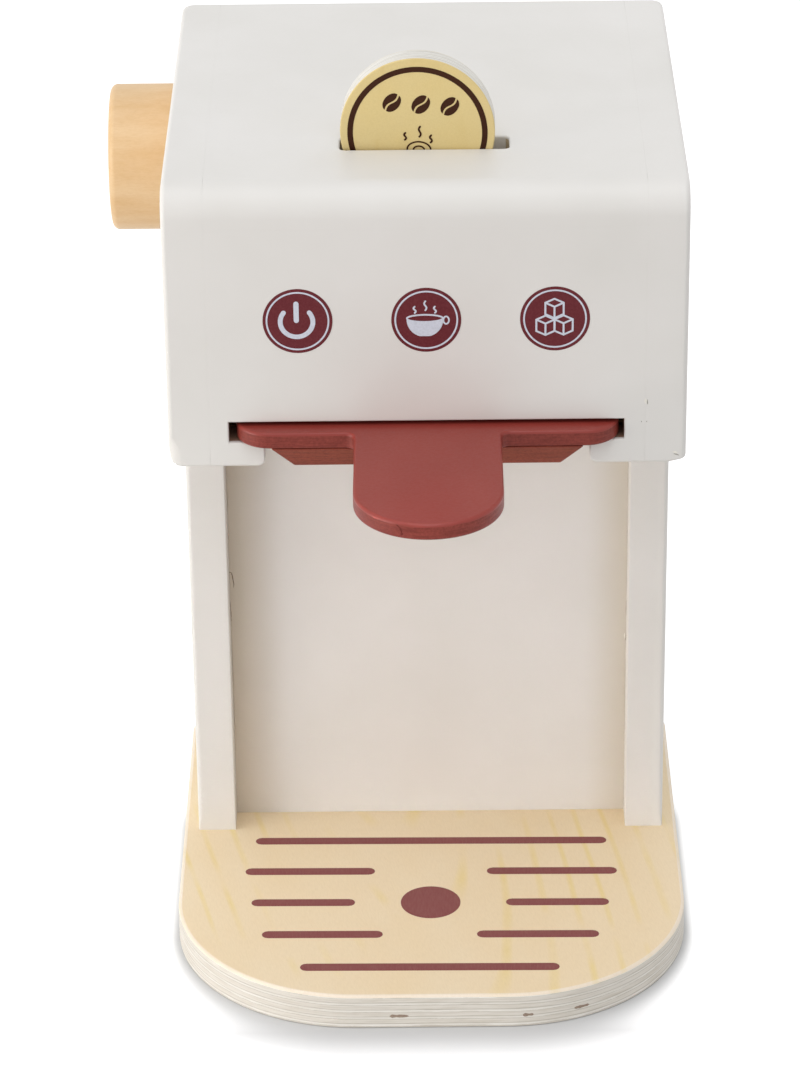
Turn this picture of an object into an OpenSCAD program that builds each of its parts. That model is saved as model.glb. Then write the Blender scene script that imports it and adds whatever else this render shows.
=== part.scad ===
// Toy coffee maker: painted boards on a plywood base, a tray that pulls out of
// the head, a knob that turns on the left side and a wooden token in a top slot.
// X runs to the right, Y to the back and Z up. The origin is the centre of the
// base board's underside. All sizes are in millimetres.

/* [Base board] */
// How far the base board stands out on each side of the housing
base_margin = 4.2; // [1:0.2:20]
// How far the base board reaches ahead of the columns
base_reach = 89; // [70:0.5:120]
// Thickness of the base board
base_t = 10.4; // [8:0.2:16]
// Radius of the two front corners
base_front_r = 51; // [10:1:58]
// Radius of the two back corners
base_back_r = 8; // [2:1:20]

/* [Housing] */
// Width over the side boards
housing_w = 135; // [120:0.5:160]
// Height of the housing above the base board
housing_h = 229.6; // [215:0.2:260]
// Depth of the columns, back to front
column_d = 68; // [62:0.5:76]
// How far the head reaches ahead of the columns
head_reach = 69.1; // [64:0.1:76]
// Height of the head
head_h = 77.3; // [70:0.1:90]
// Thickness of the two side boards
side_t = 10.8; // [9:0.2:13]
// Thickness of the head's top board
top_t = 10.8; // [9:0.2:13]
// Thickness of the head's front board
front_t = 10; // [8:0.2:13]
// Thickness of the board behind the cup bay
recess_t = 9; // [7:0.5:11]
// How far that board stands back from the columns' front edges
recess_depth = 9.6; // [4:0.2:14]
// Thickness of the rear board
rear_t = 9; // [7:0.5:12]
// Rounding of the head's top front edge
head_top_r = 8; // [2:0.5:9]
// Rounding of the head's lower front corners
head_low_r = 3; // [1:0.5:5]
// Rounding of the housing's rear corners, seen from above
rear_corner_r = 3; // [1:0.5:5]

/* [Tray slot] */
// Wood left at each end of the slot that the tray's wings slide in
slot_end_w = 5.2; // [3:0.1:8]
// Width of the ledges under the slot's ends
ledge_w = 9.1; // [6:0.1:12]
// Height of those ledges
ledge_h = 6.6; // [6:0.1:12]
// Rounding of the ledges' lower inner corners
ledge_r = 2; // [0.5:0.5:3]
// Thickness of the board over the tray
ceiling_t = 6; // [5:0.5:10]

/* [Tray] */
// Thickness of the tray's plate
plate_t = 4.8; // [4:0.1:8]
// How far the wings stand out of the head's face
plate_proud = 4.7; // [2:0.1:10]
// Rounding of the wings' front corners
wing_r = 10; // [2:0.5:14]
// Width of the pull tab
tab_w = 38.5; // [30:0.5:46]
// Length of the pull tab ahead of the wings
tab_l = 52.8; // [40:0.2:60]
// Rounding where the tab meets the wings
tab_fillet_r = 3; // [1:0.5:6]
// Height of the block under the plate
block_h = 6.9; // [5:0.1:9]
// How far the block's front slopes in towards its underside
block_front_slope = 4.4; // [1:0.1:8]
// How far each end of the block slopes in towards its underside
block_side_slope = 5.9; // [1:0.1:9]
// Gap behind the pushed-in tray
tray_rear_gap = 2.6; // [1:0.2:6]
// Diameter of the tray's stop peg
peg_d = 6; // [4:0.5:8]
// Distance from the tray's rear edge to the peg's axis
peg_inset = 7; // [6:0.5:10]
// Wood left ahead of the slot that the peg runs in
peg_stop_w = 5.8; // [3:0.1:20]

/* [Knob] */
// Diameter of the knob
knob_d = 40.3; // [34:0.1:44]
// Length of the knob
knob_l = 18.7; // [14:0.1:24]
// Rounding of the knob's outer edge
knob_edge_r = 3; // [1:0.5:5]
// Height of the knob's axis below the housing's top
knob_drop = 32; // [30:0.5:40]
// Diameter of the knob's axle
axle_d = 10; // [8:0.5:12]
// Wood left in the knob past the axle's bore
knob_cap_t = 5.2; // [3.5:0.1:8]
// Diameter of the collar that keeps the axle in
collar_d = 24; // [18:0.5:28]
// Thickness of the collar
collar_t = 8; // [6:0.5:12]
// Diameter of the screw in the axle's inner end
axle_screw_d = 3; // [2.5:0.1:4]
// Length of the screw in the axle's inner end
axle_screw_l = 16; // [12:0.5:20]

/* [Token] */
// Diameter of the token
token_d = 40.1; // [36:0.1:44]
// Thickness of the token
token_t = 6.5; // [5:0.1:9]
// How deep the token stands in the slot
token_depth = 15.4; // [13:0.1:18]
// Sideways place of the token in the slot
token_shift = -1.5; // [-1.6:0.1:1.6]
// Distance from the head's front to the token slot's centre line
token_slot_back = 31.2; // [26:0.2:40]
// Wood left around the slot in the pocket block
pocket_wall = 7; // [6:0.5:10]
// Wood left under the token in the pocket block
pocket_floor = 5; // [3:0.5:8]

/* [Fasteners] */
// Diameter of the large dowels
dowel_d = 6; // [4:0.5:7]
// Length of the large dowels
dowel_l = 20; // [16:0.5:24]
// How deep the large dowels sit in the side boards
dowel_in_side = 7; // [5:0.5:8]
// Diameter of the small dowels
small_dowel_d = 4; // [3:0.1:4.4]
// Length of the small dowels in the rails
small_dowel_l = 14; // [10:0.5:18]
// Length of the small dowels in the tray
tray_dowel_l = 7.5; // [6:0.5:8]
// Distance from the ends of the head's boards and rails to their dowels
dowel_end = 14; // [8:0.5:18]
// Distance from the tall boards' ends to their outer dowels
tall_dowel_end = 40; // [36:1:60]
// Diameter of the base screws' shanks
screw_d = 3.6; // [3:0.1:4.4]
// Diameter of the base screws' heads
screw_head_d = 7; // [6:0.2:8]
// Length of the base screws
screw_l = 32; // [26:1:34]
// Distance from a column's front and rear edges to its base screws
screw_end = 17; // [10:0.5:24]

/* [Clearances] */
// Gap between flat faces that slide past each other
run_gap = 0.25; // [0.15:0.05:0.3]
// Gap all round an axle in its bore
shaft_gap = 0.08; // [0.02:0.01:0.1]
// Gap all round a glued dowel or a screw in its hole
glue_gap = 0.05; // [0.02:0.01:0.1]
// Gap at the end of a blind hole
end_gap = 0.5; // [0.2:0.1:1]
// Gap between the peg and the sides of its slot
peg_gap = 0.3; // [0.2:0.05:0.6]
// Gap over the peg's top
peg_top_gap = 1.2; // [0.3:0.1:2]
// Gap at each end of the tray's wings
wing_gap = 2; // [0.5:0.1:3]
// Gap over the tray's wings
wing_top_gap = 0.75; // [0.2:0.05:1.5]
// Gap between the block under the plate and each ledge
block_gap = 1.7; // [0.5:0.1:3]
// Gap at each end of the token in its slot, when it stands in the middle
token_end_gap = 1.95; // [1.7:0.05:4]
// Gap on each face of the token in its slot
token_face_gap = 0.55; // [0.2:0.05:1.5]

/* [Hidden] */
$fn = 96;

// Overshoot of a cut past the face that it opens
cut = 0.5;

// The base board
base_w = housing_w + 2 * base_margin;
base_d = column_d + base_reach;

// Places along Y
back_y = base_d / 2;
column_y = back_y - column_d;
head_y = column_y - head_reach;
recess_y = column_y + recess_depth;
inside_y = head_y + front_t;

// The way for the tray
inner_x = housing_w / 2 - side_t;
slot_w = 2 * (inner_x - slot_end_w);
slot_h = plate_t + run_gap + wing_top_gap;
notch_w = slot_w - 2 * ledge_w;
plate_w = slot_w - 2 * wing_gap;
block_w = notch_w - 2 * block_gap;

// Places along Z
housing_z = base_t;
top_z = housing_z + housing_h;
under_top_z = top_z - top_t;
head_z = top_z - head_h;
slot_z = head_z + ledge_h;
ceiling_z = slot_z + slot_h;

// Tray at rest
plate_front_y = head_y - plate_proud;
plate_rear_y = recess_y - tray_rear_gap;
plate_z = slot_z + run_gap;
tray_dowel_x = block_w / 4;
tray_dowel_y = (plate_front_y + plate_rear_y) / 2;
peg_y = plate_rear_y - peg_inset;
peg_top_z = ceiling_z + ceiling_t - peg_top_gap;
peg_slot_d = peg_d + 2 * peg_gap;
peg_stop_y = inside_y + peg_stop_w + peg_slot_d / 2;

// Knob at rest
knob_y = column_y + column_d / 2;
knob_z = top_z - knob_drop;
knob_face_x = -housing_w / 2 - run_gap;
collar_x = -inner_x + run_gap;
axle_in_knob = knob_l - knob_cap_t - end_gap;
axle_l = axle_in_knob + collar_x + collar_t - knob_face_x;

// Token at rest
token_slot_l = token_d + 2 * token_end_gap;
token_slot_w = token_t + 2 * token_face_gap;
token_y = head_y + token_slot_back;
token_bottom_z = top_z - token_depth;
token_floor_z = token_bottom_z - run_gap;

// Fastener places
side_mid_x = housing_w / 2 - side_t / 2;
dowel_x = inner_x + dowel_in_side - dowel_l;
front_dowel_z = [ceiling_z + dowel_end, under_top_z - dowel_end];
top_dowel_y = [head_y + dowel_end, back_y - dowel_end];
tall_dowel_z = [
    housing_z + tall_dowel_end, (housing_z + under_top_z) / 2, under_top_z - tall_dowel_end
];
rail_dowel_y = [inside_y + dowel_end, recess_y - dowel_end];
side_screw_y = [column_y + screw_end, back_y - screw_end];
recess_screw_x = inner_x / 2;
screw_cone_h = (screw_head_d - screw_d) / 2;

// Colours, as painted or as the bare wood looks
paint = "#e5e3df";
plywood = "#e4cfab";
beech = "#e3be90";
terracotta = "#9a504a";
steel = "#b9bcc0";

// Lays a flat outline drawn in Y and Z, and gives it a thickness along +X
module along_x(from_x, length) {
    translate([from_x, 0, 0]) rotate([90, 0, 90]) linear_extrude(length) children();
}

// Lays a flat outline drawn in X and Z, and gives it a thickness along +Y
module along_y(from_y, length) {
    translate([0, from_y + length, 0]) rotate([90, 0, 0]) linear_extrude(length) children();
}

// What a rounding takes off a corner at the origin, with the board at -x and -y
module corner_waste(r) {
    translate([-r, -r]) difference() {
        square(r + cut);
        circle(r);
    }
}

// The same, for a corner at p that points along sx and sy
module round_off(p, r, sx, sy) {
    translate(p) scale([sx, sy]) corner_waste(r);
}

// Mirror copies on the left and the right
module both_sides() {
    children();
    mirror([1, 0, 0]) children();
}

// A rod along +X from a point
module rod_x(p, d, length) {
    translate(p) rotate([0, 90, 0]) cylinder(d = d, h = length);
}

// A rod along +Z from a point
module rod_z(p, d, length) {
    translate(p) cylinder(d = d, h = length);
}

// Large dowels across the joint between a board and the right side board
module side_dowels(places) {
    for (p = places) rod_x([dowel_x, p[0], p[1]], dowel_d, dowel_l);
}

// The holes for them
module side_dowel_holes(places) {
    for (p = places)
        rod_x([dowel_x - end_gap, p[0], p[1]], dowel_d + 2 * glue_gap, dowel_l + 2 * end_gap);
}

function front_places() = [for (z = front_dowel_z) [head_y + front_t / 2, z]];
function top_places() = [for (y = top_dowel_y) [y, top_z - top_t / 2]];
function recess_places() = [for (z = tall_dowel_z) [recess_y + recess_t / 2, z]];
function rear_places() = [for (z = tall_dowel_z) [back_y - rear_t / 2, z]];
function rail_places() = [for (y = rail_dowel_y) [y, head_z + ledge_h / 2]];

// Small dowels between the right rail and the right side board
module rail_rods(extra_d, extra_l) {
    for (p = rail_places())
        rod_x([inner_x - small_dowel_l / 2 - extra_l, p[0], p[1]],
            small_dowel_d + 2 * extra_d, small_dowel_l + 2 * extra_l);
}

// A countersunk screw that points up, with its head's face at the origin
module screw(extra, length) {
    cylinder(d1 = screw_head_d + 2 * extra, d2 = screw_d + 2 * extra, h = screw_cone_h + extra);
    cylinder(d = screw_d + 2 * extra, h = length + extra);
}

// Places of the base screws on the right half
function screw_places() = concat(
    [for (y = side_screw_y) [side_mid_x, y]],
    [[recess_screw_x, recess_y + recess_t / 2]]
);

// The base screws' heads lie just inside the base board's underside
module base_screw_set(extra, end) {
    both_sides() for (p = screw_places())
        translate([p[0], p[1], run_gap]) screw(extra, screw_l + end);
}

// The holes that open the base board's underside for the heads
module base_screw_holes() {
    base_screw_set(glue_gap, end_gap);
    both_sides() for (p = screw_places())
        rod_z([p[0], p[1], -cut], screw_head_d + 2 * glue_gap, run_gap + cut);
}

module base_outline() {
    difference() {
        translate([-base_w / 2, -base_d / 2]) square([base_w, base_d]);
        for (side = [-1, 1]) {
            round_off([side * base_w / 2, -base_d / 2], base_front_r, side, -1);
            round_off([side * base_w / 2, base_d / 2], base_back_r, side, 1);
        }
    }
}

module base_board() {
    color(plywood) difference() {
        linear_extrude(base_t) base_outline();
        base_screw_holes();
    }
}

// The outline of a side board, seen from the side: a column that carries a head
module side_outline() {
    difference() {
        union() {
            translate([column_y, housing_z]) square([column_d, housing_h]);
            translate([head_y, head_z]) square([head_reach + column_d, head_h]);
        }
        round_off([head_y, top_z], head_top_r, -1, 1);
        round_off([head_y, head_z], head_low_r, -1, -1);
    }
}

// The right side board with its holes
module side_board() {
    difference() {
        along_x(inner_x, side_t) side_outline();
        translate([housing_w / 2, back_y, housing_z - cut])
            linear_extrude(housing_h + 2 * cut) corner_waste(rear_corner_r);
        side_dowel_holes(concat(front_places(), top_places(), recess_places(), rear_places()));
        rail_rods(glue_gap, end_gap);
        base_screw_set(glue_gap, end_gap);
    }
}

module side_board_right() {
    color(paint) side_board();
}

// The left one carries the knob's axle
module side_board_left() {
    color(paint) difference() {
        mirror([1, 0, 0]) side_board();
        rod_x([-housing_w / 2 - cut, knob_y, knob_z], axle_d + 2 * shaft_gap, side_t + 2 * cut);
    }
}

// The front board, seen from the front, with the T-shaped way for the tray
module front_outline() {
    difference() {
        translate([-inner_x, head_z]) square([2 * inner_x, under_top_z - head_z]);
        translate([-slot_w / 2, slot_z]) square([slot_w, slot_h]);
        translate([-notch_w / 2, head_z - cut]) square([notch_w, ledge_h + 2 * cut]);
        for (side = [-1, 1])
            round_off([side * notch_w / 2, head_z], ledge_r, -side, -1);
    }
}

module head_front_board() {
    color(paint) difference() {
        along_y(head_y, front_t) front_outline();
        both_sides() side_dowel_holes(front_places());
    }
}

// The way for the token, open at the top and down to a height
module token_way(bottom_z) {
    translate([-token_slot_l / 2, token_y - token_slot_w / 2, bottom_z])
        cube([token_slot_l, token_slot_w, top_z + cut - bottom_z]);
}

module head_top_board() {
    color(paint) difference() {
        along_x(-inner_x, 2 * inner_x) difference() {
            translate([head_y, under_top_z]) square([back_y - head_y, top_t]);
            round_off([head_y, top_z], head_top_r, -1, 1);
        }
        token_way(under_top_z - cut);
        both_sides() side_dowel_holes(top_places());
    }
}

module recess_board() {
    color(paint) difference() {
        translate([-inner_x, recess_y, housing_z])
            cube([2 * inner_x, recess_t, under_top_z - housing_z]);
        both_sides() side_dowel_holes(recess_places());
        base_screw_set(glue_gap, end_gap);
    }
}

module rear_board() {
    color(paint) difference() {
        translate([-inner_x, back_y - rear_t, housing_z])
            cube([2 * inner_x, rear_t, under_top_z - housing_z]);
        both_sides() side_dowel_holes(rear_places());
    }
}

// The right rail, level with the front board's ledge
module rail() {
    difference() {
        translate([notch_w / 2, inside_y, head_z])
            cube([inner_x - notch_w / 2, recess_y - inside_y, ledge_h]);
        rail_rods(glue_gap, end_gap);
    }
}

module rail_right() {
    color(beech) rail();
}

module rail_left() {
    color(beech) mirror([1, 0, 0]) rail();
}

// The board over the tray, with a slot that stops the peg at both ends
module tray_ceiling() {
    color(beech) difference() {
        translate([-inner_x, inside_y, ceiling_z])
            cube([2 * inner_x, recess_y - inside_y, ceiling_t]);
        translate([0, 0, ceiling_z - cut]) linear_extrude(ceiling_t + 2 * cut) {
            translate([0, peg_y]) circle(d = peg_slot_d);
            translate([0, peg_stop_y]) circle(d = peg_slot_d);
            translate([-peg_slot_d / 2, peg_stop_y]) square([peg_slot_d, peg_y - peg_stop_y]);
        }
    }
}

// The block under the top board that the token stands in
module token_pocket() {
    floor_z = token_floor_z - pocket_floor;
    color(beech) difference() {
        translate([-token_slot_l / 2 - pocket_wall, token_y - token_slot_w / 2 - pocket_wall, floor_z])
            cube([token_slot_l + 2 * pocket_wall, token_slot_w + 2 * pocket_wall, under_top_z - floor_z]);
        token_way(token_floor_z);
    }
}

module base_screws() {
    color(steel) base_screw_set(0, 0);
}

module front_dowels() {
    color(beech) both_sides() side_dowels(front_places());
}

module top_dowels() {
    color(beech) both_sides() side_dowels(top_places());
}

module recess_dowels() {
    color(beech) both_sides() side_dowels(recess_places());
}

module rear_dowels() {
    color(beech) both_sides() side_dowels(rear_places());
}

module rail_dowels() {
    color(beech) both_sides() rail_rods(0, 0);
}

// The tray's plate, seen from above: wings in the slot and a round-ended tab
module plate_outline() {
    tab_r = tab_w / 2;
    difference() {
        translate([-plate_w / 2, plate_front_y]) square([plate_w, plate_rear_y - plate_front_y]);
        for (side = [-1, 1]) round_off([side * plate_w / 2, plate_front_y], wing_r, side, -1);
    }
    translate([-tab_r, plate_front_y - tab_l + tab_r]) square([tab_w, tab_l]);
    translate([0, plate_front_y - tab_l + tab_r]) circle(tab_r);
    for (side = [-1, 1]) translate([side * tab_r, plate_front_y]) scale([side, -1]) difference() {
        translate([-cut, -cut]) square(tab_fillet_r + cut);
        translate([tab_fillet_r, tab_fillet_r]) circle(tab_fillet_r);
    }
}

// The two small dowels and the peg of the tray, or the holes for them
module tray_dowel_rods(extra_d, extra_l) {
    both_sides() rod_z([tray_dowel_x, tray_dowel_y, plate_z - tray_dowel_l / 2 - extra_l],
        small_dowel_d + 2 * extra_d, tray_dowel_l + 2 * extra_l);
}

module peg_rod(extra_d, extra_l) {
    bottom_z = plate_z - block_h / 2 - extra_l;
    rod_z([0, peg_y, bottom_z], peg_d + 2 * extra_d, peg_top_z - bottom_z);
}

module tray_plate() {
    color(terracotta) difference() {
        translate([0, 0, plate_z]) linear_extrude(plate_t) plate_outline();
        tray_dowel_rods(glue_gap, end_gap);
        peg_rod(glue_gap, end_gap);
    }
}

// The block under the plate, whose front and ends slope in towards the underside
module tray_block() {
    low_z = plate_z - block_h;
    color(terracotta) difference() {
        intersection() {
            along_y(plate_front_y, plate_rear_y - plate_front_y) polygon([
                [-block_w / 2, plate_z], [block_w / 2, plate_z],
                [block_w / 2 - block_side_slope, low_z], [-block_w / 2 + block_side_slope, low_z]
            ]);
            along_x(-block_w / 2, block_w) polygon([
                [plate_front_y, plate_z], [plate_rear_y, plate_z],
                [plate_rear_y, low_z], [plate_front_y + block_front_slope, low_z]
            ]);
        }
        tray_dowel_rods(glue_gap, end_gap);
        peg_rod(glue_gap, end_gap);
    }
}

module tray_dowels() {
    color(beech) tray_dowel_rods(0, 0);
}

module tray_peg() {
    color(beech) peg_rod(0, 0);
}

// The knob's side profile is turned about its axis, which then lies along -X
module knob() {
    color(beech) difference() {
        translate([knob_face_x, knob_y, knob_z]) rotate([0, -90, 0]) rotate_extrude() difference() {
            square([knob_d / 2, knob_l]);
            round_off([knob_d / 2, knob_l], knob_edge_r, 1, 1);
        }
        rod_x([knob_face_x - axle_in_knob - end_gap, knob_y, knob_z],
            axle_d + 2 * glue_gap, axle_in_knob + end_gap + cut);
    }
}

// The screw holds the collar on the axle's inner end
module axle_screw_rod(extra, end) {
    head_x = collar_x + collar_t + screw_cone_h;
    translate([head_x, knob_y, knob_z]) rotate([0, -90, 0]) {
        cylinder(d1 = screw_head_d + 2 * extra, d2 = axle_screw_d + 2 * extra, h = screw_cone_h);
        cylinder(d = axle_screw_d + 2 * extra, h = axle_screw_l + end);
    }
}

module knob_axle() {
    color(beech) difference() {
        rod_x([knob_face_x - axle_in_knob, knob_y, knob_z], axle_d, axle_l);
        axle_screw_rod(glue_gap, end_gap);
    }
}

module knob_collar() {
    color(beech) difference() {
        rod_x([collar_x, knob_y, knob_z], collar_d, collar_t);
        rod_x([collar_x - cut, knob_y, knob_z], axle_d + 2 * glue_gap, collar_t + 2 * cut);
    }
}

module axle_screw() {
    color(steel) axle_screw_rod(0, 0);
}

module token() {
    color(plywood) translate([token_shift, token_y + token_t / 2, token_bottom_z + token_d / 2])
        rotate([90, 0, 0]) cylinder(d = token_d, h = token_t);
}

base_board();
side_board_left();
side_board_right();
head_front_board();
head_top_board();
recess_board();
rear_board();
rail_left();
rail_right();
tray_ceiling();
token_pocket();
base_screws();
front_dowels();
top_dowels();
recess_dowels();
rear_dowels();
rail_dowels();
tray_plate();
tray_block();
tray_dowels();
tray_peg();
knob();
knob_axle();
knob_collar();
axle_screw();
token();
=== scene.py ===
"""Toy coffee maker: the looks of its painted boards, plywood base, tray, knob and token.

Lengths are in metres, in the frame of the packed solids: X to the right, Y to the back and Z up.
Outlines run anticlockwise, and a hole's outline runs clockwise.
"""

import math

import bmesh
import bpy
from mathutils import Matrix, Vector, noise


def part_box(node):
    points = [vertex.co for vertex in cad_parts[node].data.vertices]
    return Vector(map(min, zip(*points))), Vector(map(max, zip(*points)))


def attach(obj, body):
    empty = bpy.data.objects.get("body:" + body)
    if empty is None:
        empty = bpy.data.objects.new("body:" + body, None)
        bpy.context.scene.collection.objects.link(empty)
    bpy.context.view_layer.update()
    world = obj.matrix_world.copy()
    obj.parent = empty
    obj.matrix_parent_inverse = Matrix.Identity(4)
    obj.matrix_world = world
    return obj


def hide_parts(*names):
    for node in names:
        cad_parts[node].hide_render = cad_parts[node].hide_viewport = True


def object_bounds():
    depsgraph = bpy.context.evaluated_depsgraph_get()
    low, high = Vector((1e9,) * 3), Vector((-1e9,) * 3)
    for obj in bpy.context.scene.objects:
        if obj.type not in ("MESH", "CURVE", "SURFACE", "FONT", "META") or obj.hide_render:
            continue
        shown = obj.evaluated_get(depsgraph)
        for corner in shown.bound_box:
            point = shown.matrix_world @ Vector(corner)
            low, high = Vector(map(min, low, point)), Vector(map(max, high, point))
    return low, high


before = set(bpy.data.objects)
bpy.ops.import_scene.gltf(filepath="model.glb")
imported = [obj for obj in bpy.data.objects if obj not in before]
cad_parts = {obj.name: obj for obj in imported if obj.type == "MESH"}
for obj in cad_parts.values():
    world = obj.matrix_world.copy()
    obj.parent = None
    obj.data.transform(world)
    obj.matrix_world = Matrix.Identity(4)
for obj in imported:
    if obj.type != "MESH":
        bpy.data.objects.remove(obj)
CAD_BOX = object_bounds()

bl_info = {
    "name": "Toy coffee maker",
    "version": (1, 0, 0),
    "blender": (4, 5, 0),
    "location": "View3D > Sidebar > Toy",
    "description": "Dresses the toy coffee maker's frame with painted boards, plywood and print",
    "category": "Object",
}

MM = 0.001

# Places that come from the frame
BASE_LOW, BASE_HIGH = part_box("base_board")
LEFT_LOW, LEFT_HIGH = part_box("side_board_left")
RIGHT_LOW, RIGHT_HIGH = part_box("side_board_right")
FRONT_LOW, FRONT_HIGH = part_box("head_front_board")
TOP_LOW, TOP_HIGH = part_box("head_top_board")
RECESS_LOW, RECESS_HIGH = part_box("recess_board")
REAR_LOW, REAR_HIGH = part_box("rear_board")
RAIL_LOW, RAIL_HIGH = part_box("rail_right")
PLATE_LOW, PLATE_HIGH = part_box("tray_plate")
BLOCK_LOW, BLOCK_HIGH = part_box("tray_block")
KNOB_LOW, KNOB_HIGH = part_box("knob")
AXLE_LOW, AXLE_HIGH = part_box("knob_axle")
TOKEN_LOW, TOKEN_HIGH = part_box("token")

# Sizes of the real thing that the boxes don't give. Columns and base:
COLUMN_FRONT_Y = RECESS_LOW.y - 9.6 * MM
BASE_FRONT_R = 51 * MM
BASE_BACK_R = 8 * MM
REAR_CORNER_R = 3 * MM
# Head: radii of its upper and lower front edges, and how much its underside hangs below the solid's
HEAD_TOP_R = 8 * MM
HEAD_LOW_R = 0.9 * MM
HEAD_DROP = 0.4 * MM
# The tray's slot: what is left of the front board beside it, its height and its sideways place
SLOT_END_W = 5.2 * MM
SLOT_H = 5.8 * MM
SLOT_SHIFT = -0.2 * MM
# The ledges under the tray's wings
LEDGE_H = RAIL_HIGH.z - RAIL_LOW.z
LEDGE_R = 2 * MM
# Tray: radii of its wings, how much each is wider than the solid's, its sideways place, its tab, and
# how much the block under it draws in towards its underside
WING_R = 9 * MM
WING_BACK_R = 0.5 * MM
WING_EXTRA = 0.4 * MM
TRAY_SHIFT = 0.1 * MM
TAB_W = 38.2 * MM
TAB_L = 52.8 * MM
TAB_FILLET_R = 2.4 * MM
BLOCK_FRONT_SLOPE = 4.4 * MM
BLOCK_SIDE_SLOPE = 5.9 * MM
# The token's slot: gaps in front of the token and behind it, and its length
TOKEN_GAP = 0.55 * MM
TOKEN_GAP_BACK = 1.7 * MM
TOKEN_SLOT_L = 44 * MM
# Gaps round the axle in the side board and in the knob
AXLE_GAP = 0.08 * MM
BORE_GAP = 0.05 * MM

# What lies this near to a place counts as lying there
NEAR = 0.1 * MM


# ---------------------------------------------------------------- outlines

def arc(centre, radius, start, end, step=4.0):
    """Points along an arc between two angles in degrees"""
    count = max(2, math.ceil(abs(end - start) / step))
    turns = [math.radians(start + (end - start) * i / count) for i in range(count + 1)]
    return [Vector((centre[0] + radius * math.cos(a), centre[1] + radius * math.sin(a))) for a in turns]


def circle(centre, radius, step=4.0):
    """A closed round outline"""
    return arc(centre, radius, 0, 360, step)[:-1]


def rounded(corners, step=6.0):
    """A closed outline through corners (u, v, radius), with an arc at each corner that has a radius"""
    points = []
    for i, (u, v, radius) in enumerate(corners):
        here = Vector((u, v))
        if radius == 0:
            points.append(here)
            continue
        to_last = (Vector(corners[i - 1][:2]) - here).normalized()
        to_next = (Vector(corners[(i + 1) % len(corners)][:2]) - here).normalized()
        half = to_last.angle(to_next) / 2
        centre = here + (to_last + to_next).normalized() * radius / math.sin(half)
        start = here + to_last * radius / math.tan(half) - centre
        end = here + to_next * radius / math.tan(half) - centre
        first = math.degrees(math.atan2(start.y, start.x))
        turn = (math.degrees(math.atan2(end.y, end.x)) - first + 180) % 360 - 180
        points += arc(centre, radius, first, first + turn, step)
    return points


def rectangle(low, high):
    """A closed outline with square corners"""
    return [Vector(p) for p in ((low[0], low[1]), (high[0], low[1]), (high[0], high[1]), (low[0], high[1]))]


def paced(outline, spacing):
    """The same outline with points added along its long straight edges"""
    points = []
    for here, after in zip(outline, outline[1:] + outline[:1]):
        count = max(1, math.ceil((after - here).length / spacing - 0.01))
        points += [here.lerp(after, i / count) for i in range(count)]
    return points


# Sine of the turn above which two edges meet in a corner when an outline is inset
CORNER_TURN = 0.3
# Sine of the turn below which two edges count as parallel
PARALLEL_TURN = 0.05
# How much of its shape a corner keeps that is tighter than the inset
FOLDED_SHARE = 0.02


def inset(outline, distances):
    """The outline moved inwards, each edge by its own distance"""
    moved = []
    count = len(outline)
    for i, here in enumerate(outline):
        along_last = (here - outline[i - 1]).normalized()
        along_next = (outline[(i + 1) % count] - here).normalized()
        last_in = Vector((-along_last.y, along_last.x))
        next_in = Vector((-along_next.y, along_next.x))
        turn = along_last.x * along_next.y - along_last.y * along_next.x
        if abs(turn) > CORNER_TURN:
            shift = (along_next * distances[i - 1] - along_last * distances[i]) / turn
        else:
            middle = (last_in + next_in) / 2
            shift = middle * (distances[i - 1] + distances[i]) / 2 / middle.length_squared
        moved.append(here + shift)
    return unfolded(outline, moved, distances)


def unfolded(outline, moved, distances):
    """Draws corners that are tighter than the inset together where the edges beside them meet"""
    count = len(outline)
    ways = [outline[(i + 1) % count] - outline[i] for i in range(count)]
    folded = [(moved[(i + 1) % count] - moved[i]).dot(ways[i]) < 0 for i in range(count)]
    if all(folded):
        return moved
    start, step = folded.index(False), 0
    while step < count:
        first = (start + step) % count
        step += 1
        if not folded[first]:
            continue
        last = first + 1
        while folded[last % count]:
            last += 1
            step += 1
        before, after = ways[first - 1].normalized(), ways[last % count].normalized()
        near = outline[first] + Vector((-before.y, before.x)) * distances[first - 1]
        far = outline[last % count] + Vector((-after.y, after.x)) * distances[last % count]
        turn = before.x * after.y - before.y * after.x
        if abs(turn) < PARALLEL_TURN:
            continue
        apart = far - near
        corner = near + before * (apart.x * after.y - apart.y * after.x) / turn
        arc_points = [outline[i % count] for i in range(first, last + 1)]
        middle = sum(arc_points, Vector((0, 0))) / len(arc_points)
        for i, point in zip(range(first, last + 1), arc_points):
            moved[i % count] = corner + (point - middle) * FOLDED_SHARE
    return moved


def ribbon(points, width):
    """The outline of a stroke of one width with round ends"""
    points = [Vector(p) for p in points]
    sides = []
    for i in range(len(points)):
        before, after = points[max(0, i - 1)], points[min(len(points) - 1, i + 1)]
        along = (after - before).normalized()
        sides.append(Vector((-along.y, along.x)) * width / 2)
    left = [p + s for p, s in zip(points, sides)]
    right = [p - s for p, s in zip(points, sides)]
    end = math.degrees(math.atan2(-sides[-1].y, -sides[-1].x))
    start = math.degrees(math.atan2(sides[0].y, sides[0].x))
    cap_end = arc(points[-1], width / 2, end, end + 180, step=30)[1:-1]
    cap_start = arc(points[0], width / 2, start, start + 180, step=30)[1:-1]
    return right + cap_end + left[::-1] + cap_start


def loop_band(outline, width):
    """A closed stroke: its outer outline and the hole in it"""
    apart = [width / 2] * len(outline)
    outer = inset(outline, [-d for d in apart])
    return outer, inset(outline, apart)[::-1]


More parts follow.
